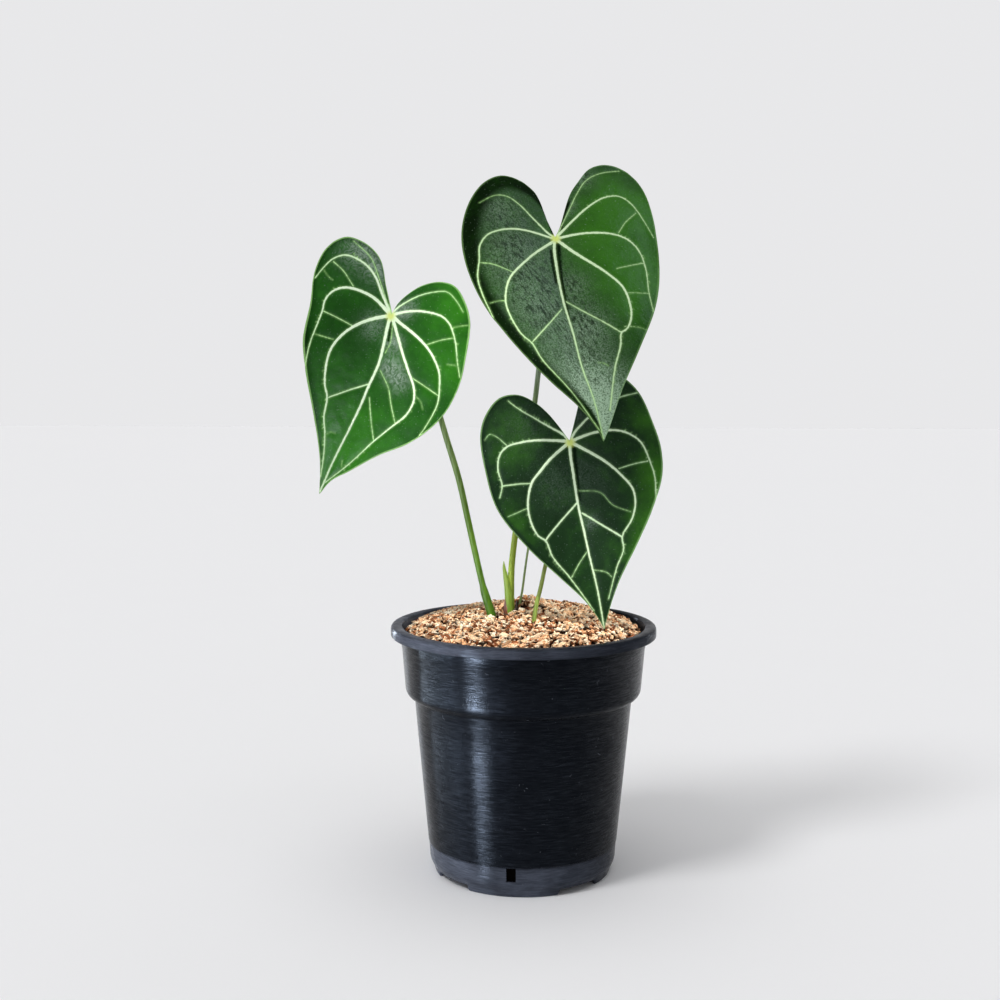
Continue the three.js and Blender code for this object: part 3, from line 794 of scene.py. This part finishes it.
def dry_skin(name, dark, pale):
    """Dead tissue with upright fibres, from a dark to a pale brown."""
    material, tree, shader, place = new_material(name, Roughness=0.7)
    upright = node(tree, "Mapping", {"Vector": place, "Scale": (900, 900, 120)}).outputs["Vector"]
    fibres = mottled(upright, 1.0, 4.0)
    tone = ramped(fibres, (0.35, dark), (0.7, pale))
    feed(shader, Base_Color=tone, Normal=bumped(fibres, 0.5, 0.0005))
    return material


corky = dry_skin("corky_crown", (0.02, 0.012, 0.007), (0.10, 0.055, 0.03))
finished(crown, "crown_bark", corky, "dry_scale", "crown")
red_brown = dry_skin("red_brown_scale", (0.10, 0.025, 0.010), (0.42, 0.15, 0.07))
finished(dry_scale(156, 205, 40, 4.3, 3.7, 0.25), "scale_left", red_brown, "dry_scale")
papery = dry_skin("dark_papery_scale", (0.012, 0.008, 0.006), (0.09, 0.06, 0.045))
finished(dry_scale(153.5, 345, 45, 4.4, 3.6, 0.3), "scale_right", papery, "dry_scale")

# Blades
# Heart-shaped, leathery and velvety leaves, grown in one piece with their net of pale veins.
# The veins run in shallow furrows, the blade swells between them and rolls back at the margin.

BLADE_RAYS = 240
BLADE_RINGS = 54
BLADE_CENTRE = 0.12
BLADE_MIDDLE = (0, -30)
BLADE_THICKNESS = 0.7
BLADE_CREASE = 70
GROOVE_WIDTH = 3.0
ARCH_MIDDLE = 0.45
WAVE_PER_MM = 0.09
VEIN_REACH = 9.0
VEIN_TAPER = 0.55
SPUR_SHARE = 0.33
SPUR_VEIN = 0.55
FURROW_DEPTH, FURROW_REACH = 0.55, 2.2
RIDGE_HEIGHT = 0.22
PUCKER_HEIGHT, PUCKER_SCALE = 0.25, 0.25
RIB_HEIGHT = 0.5
# Darkness and width of the painted shadow lines beside veins, then darkness and fade of the painted
# shade along a margin
SHADOW_LINE_DARKNESS, SHADOW_LINE_WIDTH = 2.5, 0.6
MARGIN_SHADE_DARKNESS, RIM_FADE = 1.1, 3

# How near to a vein the mesh is made finer, and the longest edge that stays whole there
FINE_BANDS = ((1.3, 0.5), (0.5, 0.38))


def vein(points, start, end):
    """A vein through these points as (middle line, width along it)."""
    count = 5 * len(points)
    line = smooth_line(points, count)
    width = start + (end - start) * np.linspace(0, 1, count) ** VEIN_TAPER
    return line, width


def spurs(line, width, draw):
    """The few small teeth that stand on the outer bends of a strong vein."""
    teeth = []
    for i in range(len(line) // 3, len(line) - 2):
        along = line[i + 1] - line[i - 1]
        along = along / np.linalg.norm(along)
        across = np.array([-along[1], along[0]])
        if across @ (line[i] - np.array(BLADE_MIDDLE)) < 0 or draw.random() < 0.2:
            across = -across
        reach = (across + along * draw.uniform(-0.2, 1.0)) * draw.uniform(0.5, 1.0)
        if width[i] > SPUR_VEIN and draw.random() < SPUR_SHARE:
            start = line[i] + across * 0.4 * width[i]
            teeth.append((np.array([start, start + reach]), np.array([0.5, 0.15])))
    return teeth


def midrib_at(leaf, y):
    """How far the midrib bows to the side at this height."""
    share = np.clip(-y / leaf["length"], 0, 1)
    return leaf["midrib_bow"] * np.sin(np.pi * share**0.7)


def blade_height(leaf, x, y):
    """The blade's own relief: folded along the midrib, arched, rolled and waved."""
    across = np.abs(x - midrib_at(leaf, y))
    fold = leaf["fold"] * (np.hypot(across, GROOVE_WIDTH) - GROOVE_WIDTH)
    margin = leaf["margin_roll"] * leaf["half_width"] * (across / leaf["half_width"]) ** 2.6
    along = y / leaf["length"] + ARCH_MIDDLE
    arch = leaf["arch"] * leaf["length"] * (along**2 - ARCH_MIDDLE**2)
    swell = (across / leaf["half_width"]) ** 3
    wave = leaf["wave"] * swell * np.sin(WAVE_PER_MM * y + np.sign(x))
    return fold - margin - arch + wave


def nearest_vein(x, y, veins):
    """For each point: distance past the edge of the nearest vein, and that vein's width."""
    edge = np.full(len(x), 99.0)
    width = np.zeros(len(x))
    for line, widths in veins:
        for a, b, wa, wb in zip(line, line[1:], widths, widths[1:]):
            low, high = np.minimum(a, b) - VEIN_REACH, np.maximum(a, b) + VEIN_REACH
            near = np.flatnonzero((x > low[0]) & (x < high[0]) & (y > low[1]) & (y < high[1]))
            d = b - a
            px, py = x[near] - a[0], y[near] - a[1]
            t = np.clip((px * d[0] + py * d[1]) / max(d @ d, 1e-9), 0, 1)
            here = wa + (wb - wa) * t
            gap = np.hypot(px - t * d[0], py - t * d[1]) - here / 2
            closer = gap < edge[near]
            edge[near[closer]] = gap[closer]
            width[near[closer]] = here[closer]
    return edge, width


def flat_blade(leaf):
    """The blade's outline filled with rays and rings, flat in its own plane."""
    rays = np.linspace(0, 1, BLADE_RAYS + 1)
    half = BLADE_RAYS // 2 + 1
    tip = (0, -leaf["length"])
    right = smooth_line([(0, 0), *leaf["right"], tip], half)
    left = smooth_line([(0, 0), *leaf["left"], tip], half)
    outline = np.vstack([right, left[-2::-1]])
    centre_y = -BLADE_CENTRE * leaf["length"]
    sheet = bmesh.new()
    bmesh.ops.create_grid(sheet, x_segments=BLADE_RAYS, y_segments=BLADE_RINGS, size=0.5)
    for name in ("past_vein", "vein_width", "from_sinus", "to_margin", "tone", "dust_and_sheen", "underside"):
        sheet.verts.layers.float.new(name)
    margin = sheet.verts.layers.float["to_margin"]
    for vert in sheet.verts:
        ray = round((vert.co.x + 0.5) * BLADE_RAYS)
        out = vert.co.y + 0.5
        y = centre_y + out * (outline[ray][1] - centre_y)
        x = out * outline[ray][0] + float(midrib_at(leaf, np.array(y))) * (1 - out**6)
        vert.co = (x, y, 0)
        vert[margin] = (1 - out) * math.hypot(outline[ray][0], outline[ray][1] - centre_y)
    bmesh.ops.remove_doubles(sheet, verts=sheet.verts, dist=1e-3)
    return sheet


def patched(patches, x, y):
    """The sum of soft round patches of (x, y, reach, amount) at each point."""
    return sum(a * np.exp(-((x - px) ** 2 + (y - py) ** 2) / r**2) for px, py, r, a in patches)


def blade_mesh(leaf):
    """A blade with its relief, its veins, its dust and its painted light and shade, in its place on
    the plant.
    """
    sheet = flat_blade(leaf)
    draw = random.Random(leaf["length"])
    veins = [vein(*v) for v in leaf["veins"]]
    for line, width in veins[1:]:
        if width[0] > 1.4:
            veins = veins + spurs(line, width, draw)
    co = np.array([v.co for v in sheet.verts])
    edge, width = nearest_vein(co[:, 0], co[:, 1], veins)
    for reach, longest in FINE_BANDS:
        near = {v for v, e in zip(sheet.verts, edge) if e < reach}
        close = [e for e in sheet.edges if near.issuperset(e.verts) and e.calc_length() > longest]
        bmesh.ops.subdivide_edges(sheet, edges=close, cuts=1, use_grid_fill=True)
        co = np.array([v.co for v in sheet.verts])
        edge, width = nearest_vein(co[:, 0], co[:, 1], veins)
    layers = sheet.verts.layers.float
    x, y = co[:, 0], co[:, 1]
    height = blade_height(leaf, x, y)
    furrow = -FURROW_DEPTH * np.exp(-np.clip(edge, 0, None) / FURROW_REACH)
    inside = np.clip(edge + width / 2, 0, None) / np.maximum(0.6 * width, 1e-6)
    ridge = RIDGE_HEIGHT * np.clip(width, 0, 2) * np.exp(-(inside**2))
    # Painted shadows: the dark lines listed under creases, beside the midrib and a vein near the
    # sinus, where their shadows fall
    crease, _ = nearest_vein(x, y, [vein(*c) for c in leaf["creases"]])
    crease = np.exp(-((np.clip(crease, 0, None) / SHADOW_LINE_WIDTH) ** 2))
    # Tone patches above 0 are painted light and below 0 painted shade, and the painted shadow lines
    # are taken off them
    tone = patched(leaf["tones"], x, y) - SHADOW_LINE_DARKNESS * crease
    # Patches of dust, and of painted sheen where the blade reflects light
    dust_and_sheen = patched(leaf["dust_and_sheen"], x, y)
    # Painted shade: a band along one margin, which rolls back out of the light, is darkened, and no
    # dust or sheen lies on it
    side, rim_width = leaf["painted_margin_shade"]
    for i, vert in enumerate(sheet.verts):
        rim = held((rim_width + RIM_FADE - vert[layers["to_margin"]]) / (2 * RIM_FADE))
        rim = rim if x[i] * side > 0 else 0
        vert[layers["tone"]] = held(tone[i] - MARGIN_SHADE_DARKNESS * rim, -1)
        vert[layers["dust_and_sheen"]] = min(dust_and_sheen[i], 1) * (1 - rim) * (1 - held(-tone[i]))
        vert[layers["past_vein"]] = edge[i]
        vert[layers["vein_width"]] = width[i]
        vert[layers["from_sinus"]] = math.hypot(x[i], y[i] + 1)
        pucker = PUCKER_HEIGHT * noise.noise((x[i] * PUCKER_SCALE, y[i] * PUCKER_SCALE, 5))
        vert.co.z = height[i] + furrow[i] + ridge[i] + pucker * held(edge[i] / 3)
    front = set(sheet.verts)
    bmesh.ops.extrude_face_region(sheet, geom=sheet.faces[:], use_keep_orig=True)
    for vert in sheet.verts:
        if vert not in front:
            rib = math.exp(-(max(vert[layers["past_vein"]] + 0.4, 0) ** 2))
            vert.co.z -= BLADE_THICKNESS + RIB_HEIGHT * vert[layers["vein_width"]] * rib
            vert[layers["underside"]] = 1
    bmesh.ops.recalc_face_normals(sheet, faces=sheet.faces)
    bmesh.ops.transform(sheet, matrix=leaf["place"], verts=sheet.verts)
    return sheet


def total(a, b):
    """One value and another."""
    return node(a.id_data, "Math", {0: a, 1: b}, operation="ADD").outputs["Value"]


def blade_skin(
    name, dark, deep, bright, vein_pale, vein_green, dust_and_sheen_grey, speckle_size, speckle_low, swirl,
    rim_strength, gloss, crumple, wrinkle_shade
):
    """Velvety green, uneven at random and painted lighter or darker in patches as light and shade,
    with pale veins feathering into the green.
    """
    material, tree, shader, place = new_material(name, Roughness=0.43)
    lit, dust_and_sheen_film = own_value(tree, "tone"), own_value(tree, "dust_and_sheen")

    # The green itself, dark, deep or bright, following the tone patches of painted light and shade
    # and the leaf's own random unevenness
    patches = mottled(place, 75.0, 6.0, Roughness=0.68)
    lit_and_uneven = total(lit, ranged(patches, 0.25, 0.75, -0.4, 0.4))
    skin = ramped(ranged(lit_and_uneven, -1.0, 1.0), (0.0, dark), (0.5, deep), (1.0, bright))

    # Grey speckles of dust and painted sheen where that film lies, with slanting wrinkles painted
    # dark as shade on the highest blade
    specks = mottled(place, speckle_size, 3.0, Roughness=0.6, Distortion=swirl)
    speckle = ranged(specks, 0.4, 0.62, speckle_low, 1.6)
    skin = mixed(product(dust_and_sheen_film, speckle, clamp=True), skin, dust_and_sheen_grey)
    slant = {"Vector": place, "Rotation": (0, -0.46, 0), "Scale": (0.0014, 0.0014, 0.009)}
    slanted = node(tree, "Mapping", slant, vector_type="TEXTURE").outputs["Vector"]
    wrinkles = mottled(slanted, 1.0, 2.0, Distortion=0.4)
    height = node(tree, "SeparateXYZ", {"Vector": place}).outputs["Z"]
    where = product(dust_and_sheen_film, ranged(height, 0.27, 0.32))
    # Painted shade in the wrinkles, only where the dust and sheen film lies high on the plant
    shaded = ranged(wrinkles, 0.46, 0.66, 0.0, wrinkle_shade)
    skin = mixed(product(shaded, where, clamp=True), skin, dark)
    # Fine flecks of the same grey of dust and painted sheen
    flecks = ranged(mottled(place, 1250.0, 1.0), 0.7, 0.76, 0.0, 0.35)
    skin = mixed(flecks, skin, dust_and_sheen_grey)
    skin = mixed(own_value(tree, "underside"), skin, (0.075, 0.15, 0.045))

    # Veins with a ragged edge and a faint halo, yellow at the sinus and green round the rim
    feather = ranged(mottled(place, 700.0, 2.0), 0.0, 1.0, -0.3, 0.3)
    ragged = total(own_value(tree, "past_vein"), feather)
    broad = ranged(own_value(tree, "vein_width"), 0.2, 1.1)
    heart = ranged(own_value(tree, "from_sinus"), 3.6, 1.2, 0.0, 0.85)
    rim = ranged(own_value(tree, "to_margin"), 1.0, 0.5, 0.0, rim_strength)
    skin = mixed(ranged(ragged, 1.0, 0.0, 0.0, 0.25), skin, vein_green)
    pale = mixed(broad, vein_green, vein_pale)
    skin = mixed(ranged(ragged, 0.14, -0.1), skin, pale)
    skin = mixed(heart, skin, (0.62, 0.72, 0.14))
    skin = mixed(rim, skin, vein_green)

    velvet = bumped(mottled(place, 1000.0, 2.0), 0.25, 0.0004)
    creases = mottled(place, 330.0, 2.0, Distortion=0.6)
    feed(
        shader,
        Base_Color=skin,
        Specular_IOR_Level=ranged(lit, -0.8, 0.0, 0.006, gloss),
        Normal=bumped(creases, crumple, 0.0015, Normal=velvet),
    )
    return material


# A leaf in its own plane, from the sinus at (0, 0) down to the tip: tones, which are painted light
# and shade, and the patches of dust and painted sheen are (x, y, reach, amount), and a vein, or a
# crease, which is a painted shadow line, is its line, its first and its last width
TOP_LEAF = {
    "place": TOP_BLADE, "length": 121, "half_width": 56, "painted_margin_shade": (-1, 10),
    "fold": 0.24, "margin_roll": 0.22, "arch": 0.1, "midrib_bow": -4.5, "wave": 0.9,
    "skin": {
        "dark": (0.003, 0.010, 0.002), "deep": (0.010, 0.052, 0.003),
        "bright": (0.028, 0.130, 0.006), "dust_and_sheen_grey": (0.27, 0.39, 0.275),
        "vein_pale": (0.62, 0.80, 0.50), "vein_green": (0.25, 0.46, 0.15),
        "speckle_size": 1400, "speckle_low": 0.3, "swirl": 0,
        "rim_strength": 0.3, "gloss": 0.045, "crumple": 0.22, "wrinkle_shade": 3.0,
    },
    "tones": [(28, -8, 26, 1.1), (38, 20, 16, 0.7), (32, -45, 16, 0.8), (54, 5, 12, 0.8),
              (50, -28, 12, 0.7)],
    "creases": [([(0.7, -3), (-0.1, -6.5), (-1.1, -14), (-2.7, -25), (-3.4, -38),
                (-3.8, -52)], 2.2, 0.1),
                ([(-3.8, -9), (-5.2, -17), (-5.8, -28)], 1.5, 0.1),
                ([(4, 5), (7.5, 12), (12.5, 20.5)], 1.6, 0.3)],
    "dust_and_sheen": [(-24, -10, 22, 0.28), (-17, -44, 20, 0.29), (-28, 22, 13, 0.23), (4, -32, 8, 0.17),
             (-7, -78, 18, 0.34), (5, -58, 12, 0.31), (2, -96, 15, 0.95), (1, -112, 12, 1.2),
             (9, 18, 6, 0.4), (22, 36, 8, 0.3)],
    "left": [(-2, 11), (-4.5, 30), (-11.5, 39), (-20.5, 43), (-31, 40), (-42, 29), (-50.5, 11),
             (-52.5, -12), (-48, -38), (-35, -66), (-22, -86), (-9, -102), (-2.5, -113)],
    "right": [(3.5, 5), (14, 25), (20.5, 32.5), (29, 40), (39.5, 41.5), (49, 37), (56, 25.5),
              (57, 2), (53, -28), (44, -52), (29, -75.5), (15, -96), (4, -115)],
    "veins": [
        ([(0, 0), (-2, -6.5), (-4, -24.5), (-4.5, -41.5), (-3.5, -59), (-3, -79), (-0.5, -98.5),
          (0, -120)], 1.87, 0.42),
        ([(-0.5, 0), (-3, 2.5), (-10, 13.5), (-15, 22), (-21, 28.5), (-27.5, 30),
          (-38, 26)], 1.36, 0.26),
        ([(-0.5, -1), (-12, 4), (-20.5, 6.5), (-29, 7), (-37.5, 5), (-43, -1), (-45, -9.5),
          (-48, -19.5), (-48, -29.5), (-45, -46)], 1.4, 0.51),
        ([(-0.5, -2), (-13, -9), (-23.5, -16.5), (-31.5, -24), (-36, -34.5), (-36.5, -42),
          (-32, -57.5), (-27.5, -63), (-24, -73), (-11.5, -93), (0, -117)], 1.61, 0.34),
        ([(-45, -11.5), (-39, -13.5), (-29, -20)], 0.42, 0.42),
        ([(-6.5, -44.5), (-16, -53), (-27, -62.5)], 0.59, 0.68),
        ([(2, 2), (12.5, 17), (18.5, 25.5), (25, 32.5), (33.5, 36), (46, 37)], 0.51, 0.42),
        ([(0.5, 0), (3.5, 2), (13, 9), (23, 15.5), (33, 19.5), (41, 19), (46.5, 13.5), (51.5, 0),
          (54.5, -9)], 1.6, 0.42),
        ([(0.5, -1), (11, -1), (22, -2.5), (32, -5.5), (39, -10), (43.5, -17.5), (44.5, -29),
          (42.5, -42.5), (42, -55)], 1.75, 0.42),
        ([(0.5, -2), (8.5, -13), (22.5, -29), (28.5, -38), (30, -46.5), (29, -56), (25, -63),
          (21.5, -64.5), (19.5, -71.5), (14, -83), (6.5, -105.5)], 1.9, 0.6),
        ([(47.5, 7), (40, 1.5), (34.5, -4.5)], 0.42, 0.42),
        ([(28, -26.5), (36.5, -25.5), (44, -24.5)], 0.42, 0.42),
        ([(31, -42), (42, -43.5)], 0.34, 0.34),
        ([(-3, -40.5), (5, -48.5), (14, -57), (21, -64)], 0.59, 0.68),
        ([(24, -61.5), (30, -62.5), (36.5, -65.5)], 0.45, 0.25),
        ([(-45, -37), (-40, -36.5), (-36, -37)], 0.3, 0.3),
        ([(6, -78.5), (8.5, -79.5), (11, -81.5)], 0.3, 0.2),
    ],
}

LEFT_LEAF = {
    "place": LEFT_BLADE, "length": 107, "half_width": 52, "painted_margin_shade": (-1, 1),
    "fold": 0.16, "margin_roll": 0.14, "arch": 0.07, "midrib_bow": 4.3, "wave": 0.8,
    "skin": {
        "dark": (0.003, 0.022, 0.002), "deep": (0.010, 0.076, 0.004),
        "bright": (0.030, 0.190, 0.008), "dust_and_sheen_grey": (0.30, 0.38, 0.32),
        "vein_pale": (0.75, 0.92, 0.66), "vein_green": (0.36, 0.66, 0.22),
        "speckle_size": 200, "speckle_low": 0.3, "swirl": 4.0,
        "rim_strength": 0.6, "gloss": 0.045, "crumple": 0.05, "wrinkle_shade": 0,
    },
    "tones": [(6, -78, 26, 0.9), (44, -15, 15, 0.7), (30, 20, 14, 0.6), (-25, -14, 16, -0.3),
              (-44, -32, 9, -0.5)],
    "creases": [([(2, -4), (2.8, -8), (4.4, -14)], 0.6, 0.1)],
    "dust_and_sheen": [(-30, 29, 12, 0.45), (-14, 22, 9, 0.5), (-7, -9, 7, 0.35), (8, -14, 5, 0.55),
             (12, -27, 6, 0.5), (20, -32, 6, 0.4), (8, 6, 5, 0.4), (-42, -42, 5, 0.5),
             (3, 3, 4, 0.5)],
    "left": [(-3, 4.5), (-9.5, 13.5), (-17.5, 25), (-24.5, 29.5), (-33, 31.5), (-42.5, 30.5),
             (-50.5, 22), (-52.5, 7), (-47, -11), (-42, -31), (-33, -47), (-20, -66), (-8, -86),
             (-3, -98)],
    "right": [(1, 7), (7, 17.5), (13, 23), (20, 26.5), (28, 27), (35.5, 22.5), (44, 12.5), (50, -7),
              (52.5, -25), (50, -43), (39.5, -61), (25, -74.5), (12, -89), (4, -97.5)],
    "veins": [
        ([(0, 0), (0.5, -6), (2.5, -15.5), (4.5, -28), (4, -40.5), (4, -52), (3, -67), (1, -87),
          (0, -106)], 2.0, 0.8),
        ([(-0.5, 1), (-4.5, 4.5), (-14, 15), (-23.5, 24.5), (-37.5, 30)], 0.68, 0.22),
        ([(-0.5, 0), (-10, 9), (-17, 16), (-26, 20.5), (-38, 21), (-44.5, 16.5), (-48, 10),
          (-50.5, 3)], 1.71, 0.57),
        ([(-0.5, -0.5), (-12, 4.5), (-20.5, 5.5), (-29.5, 4.5), (-36, 0.5), (-39, -6), (-38, -12),
          (-37.5, -23), (-37, -32), (-34.5, -44.5)], 2.18, 0.47),
        ([(-0.5, -1), (-9, -6.5), (-15.5, -12.5), (-21.5, -21.5), (-24, -31.5), (-22, -43),
          (-19, -50.5), (-15.5, -55.5), (-13, -66.5), (-9, -75), (-5, -87.5),
          (-2.5, -98.5)], 2.18, 0.47),
        ([(-43.5, 15), (-36, 12.5), (-26.5, 6.5)], 0.45, 0.38),
        ([(-37, -12.5), (-28, -13), (-18, -14)], 0.45, 0.45),
        ([(-35.5, -26), (-25, -25)], 0.3, 0.3),
        ([(4, -40), (-3, -45.5), (-14.5, -55.5)], 0.75, 0.68),
        ([(1, -1), (4, -8), (6, -15), (5.5, -21)], 0.4, 0.2),
        ([(0.5, -1), (3, -3.5), (14, -16), (22, -24.5), (29.5, -32.5), (32.5, -39.5), (31.5, -48),
          (26.5, -56.5), (19, -69), (11.5, -83.5), (1, -100)], 1.9, 0.47),
        ([(0.5, -0.5), (6, -2.5), (19, -6), (30, -11), (39, -19), (42.5, -26), (45.5, -36),
          (44.5, -48.5), (43, -55.5)], 2.09, 0.38),
        ([(0.5, 0), (9, 5), (18, 8), (28.5, 9), (34.5, 6.5), (41.5, -1.5), (46.5, -10.5),
          (51, -18)], 1.8, 0.38),
        ([(0.3, 1), (1.5, 4), (5.5, 9.5), (11.5, 15.5), (19.5, 20.5), (25.5, 22.5), (32, 20),
          (38.5, 15.5)], 1.14, 0.28),
        ([(26.5, -8.5), (33.5, -3), (39.5, 0.5)], 0.38, 0.38),
        ([(26, -28), (34.5, -29.5), (44, -31.5)], 0.38, 0.38),
        ([(7, -47), (13.5, -58.5), (19.5, -68)], 0.45, 0.45),
        ([(7, -31), (15.5, -38), (21, -46), (27.5, -54.5)], 0.3, 0.45),
        ([(-47.5, 9), (-43, 6.5), (-39.5, 5.5)], 0.15, 0.05),
        ([(-34, 23.5), (-31, 20.5)], 0.3, 0.05),
        ([(36, 5), (40.5, 8), (44.5, 10)], 0.2, 0.05),
        ([(42, -14), (48, -13), (50.5, -17)], 0.2, 0.05),
        ([(-9, -76), (-6.5, -73), (-3.5, -72.5)], 0.1, 0),
        ([(6, -85), (7, -88), (9.5, -89.5)], 0.2, 0.05),
        ([(31, -36), (36, -38), (39, -41.5)], 0.1, 0),
        ([(-37, -26), (-30, -25.5)], 0.1, 0.05),
    ],
}

LOW_LEAF = {
    "place": LOW_BLADE, "length": 106, "half_width": 50, "painted_margin_shade": (-1, 1),
    "fold": 0.2, "margin_roll": 0.16, "arch": 0.05, "midrib_bow": -2, "wave": 0.7,
    "skin": {
        "dark": (0.003, 0.010, 0.003), "deep": (0.009, 0.030, 0.009),
        "bright": (0.032, 0.125, 0.010), "dust_and_sheen_grey": (0.18, 0.24, 0.21),
        "vein_pale": (0.66, 0.82, 0.58), "vein_green": (0.28, 0.50, 0.20),
        "speckle_size": 1300, "speckle_low": 0.2, "swirl": 0,
        "rim_strength": 0.5, "gloss": 0.035, "crumple": 0.15, "wrinkle_shade": 1.0,
    },
    "tones": [(45, -28, 14, 0.95), (36, -52, 10, 0.9), (26, -68, 9, 0.8), (44, 5, 10, 0.6),
              (-35, 5, 18, 0.3), (-38, -40, 10, 0.4)],
    "creases": [([(1.3, -3), (0.9, -7.5), (0.1, -20), (-0.8, -33)], 1.8, 0.1)],
    "dust_and_sheen": [(-22, 12, 14, 0.08), (-12, -22, 14, 0.09), (8, 12, 10, 0.12), (8, -24, 12, 0.06),
             (3, -46, 4, 0.3)],
    "left": [(-1.5, 3), (-5, 10), (-9.5, 17.5), (-15.5, 24.5), (-24, 30), (-34, 30), (-43, 22.5),
             (-48, 12), (-49, -8), (-46.5, -30), (-34, -53.5), (-19.5, -73), (-8, -88.5),
             (-3, -98)],
    "right": [(1.5, 3), (6, 13), (11.5, 24.5), (17, 30), (25, 32), (33, 30.5), (42, 20), (47, 1),
              (49, -13), (47, -28), (38, -45), (27, -61), (12, -82), (3, -99)],
    "veins": [
        ([(0, 0), (-1, -7.5), (-1.5, -19.5), (-2, -35), (-1.5, -49.5), (-1, -64), (0, -83),
          (0, -105)], 1.75, 0.7),
        ([(-0.3, 0), (-3, 4), (-11.5, 11), (-18, 16.5), (-25, 22.5), (-29.5, 27.5)], 1.53, 0.45),
        ([(-0.5, -0.5), (-3.5, 0.5), (-18, 3.5), (-27.5, 4), (-35, 3), (-39.5, -0.5), (-42, -8),
          (-41.5, -17.5), (-44, -23.5)], 1.8, 0.54),
        ([(-0.5, -1), (-12, -7.5), (-19.5, -13.5), (-25, -18.5), (-29, -27.5), (-30, -36.5),
          (-27.5, -47.5), (-23.5, -51.5), (-21.5, -60.5), (-14, -74), (-4, -94.5)], 1.89, 0.45),
        ([(-41, -17.5), (-33, -18), (-25.5, -19)], 0.64, 0.56),
        ([(-35, 4), (-39.5, 9.5), (-43, 11.5), (-46, 9)], 0.48, 0.24),
        ([(-23.5, -51), (-16.5, -45), (-2.5, -34.5)], 0.88, 0.88),
        ([(-30.5, -32), (-41.5, -34.5)], 0.4, 0.32),
        ([(-13, -74), (-7.5, -67.5), (-2, -62)], 0.4, 0.4),
        ([(0.3, 0), (4, 4.5), (13, 11), (23.5, 17), (32.5, 18.5), (41.5, 19)], 1.53, 0.54),
        ([(0.5, -0.5), (10, 1.5), (17, 2), (26, 1), (33, -2.5), (38.5, -8.5), (41, -17.5),
          (42.5, -27.5), (41, -40)], 1.8, 0.54),
        ([(0.5, -1), (10.5, -9), (18.5, -16.5), (25, -25), (29, -32.5), (29, -40), (25.5, -48.5),
          (18.5, -57), (18, -64), (12.5, -73.5), (5, -90)], 1.89, 0.45),
        ([(40, -19), (33, -19), (23.5, -20)], 0.64, 0.48),
        ([(-0.5, -40.5), (9, -49), (18, -57)], 0.88, 0.88),
        ([(0, -28), (11, -31), (16.5, -39), (25.5, -44.5)], 0.28, 0.2),
        ([(0, -72.5), (6.5, -75), (9, -78)], 0.4, 0.32),
    ],
}

for side, leaf in (("top", TOP_LEAF), ("left", LEFT_LEAF), ("low", LOW_LEAF)):
    skin = blade_skin(f"{side}_blade_skin", **leaf["skin"])
    mesh = blade_mesh(leaf)
    finished(mesh, f"blade_{side}", skin, "blade", f"leaf_{side}", crease=BLADE_CREASE)
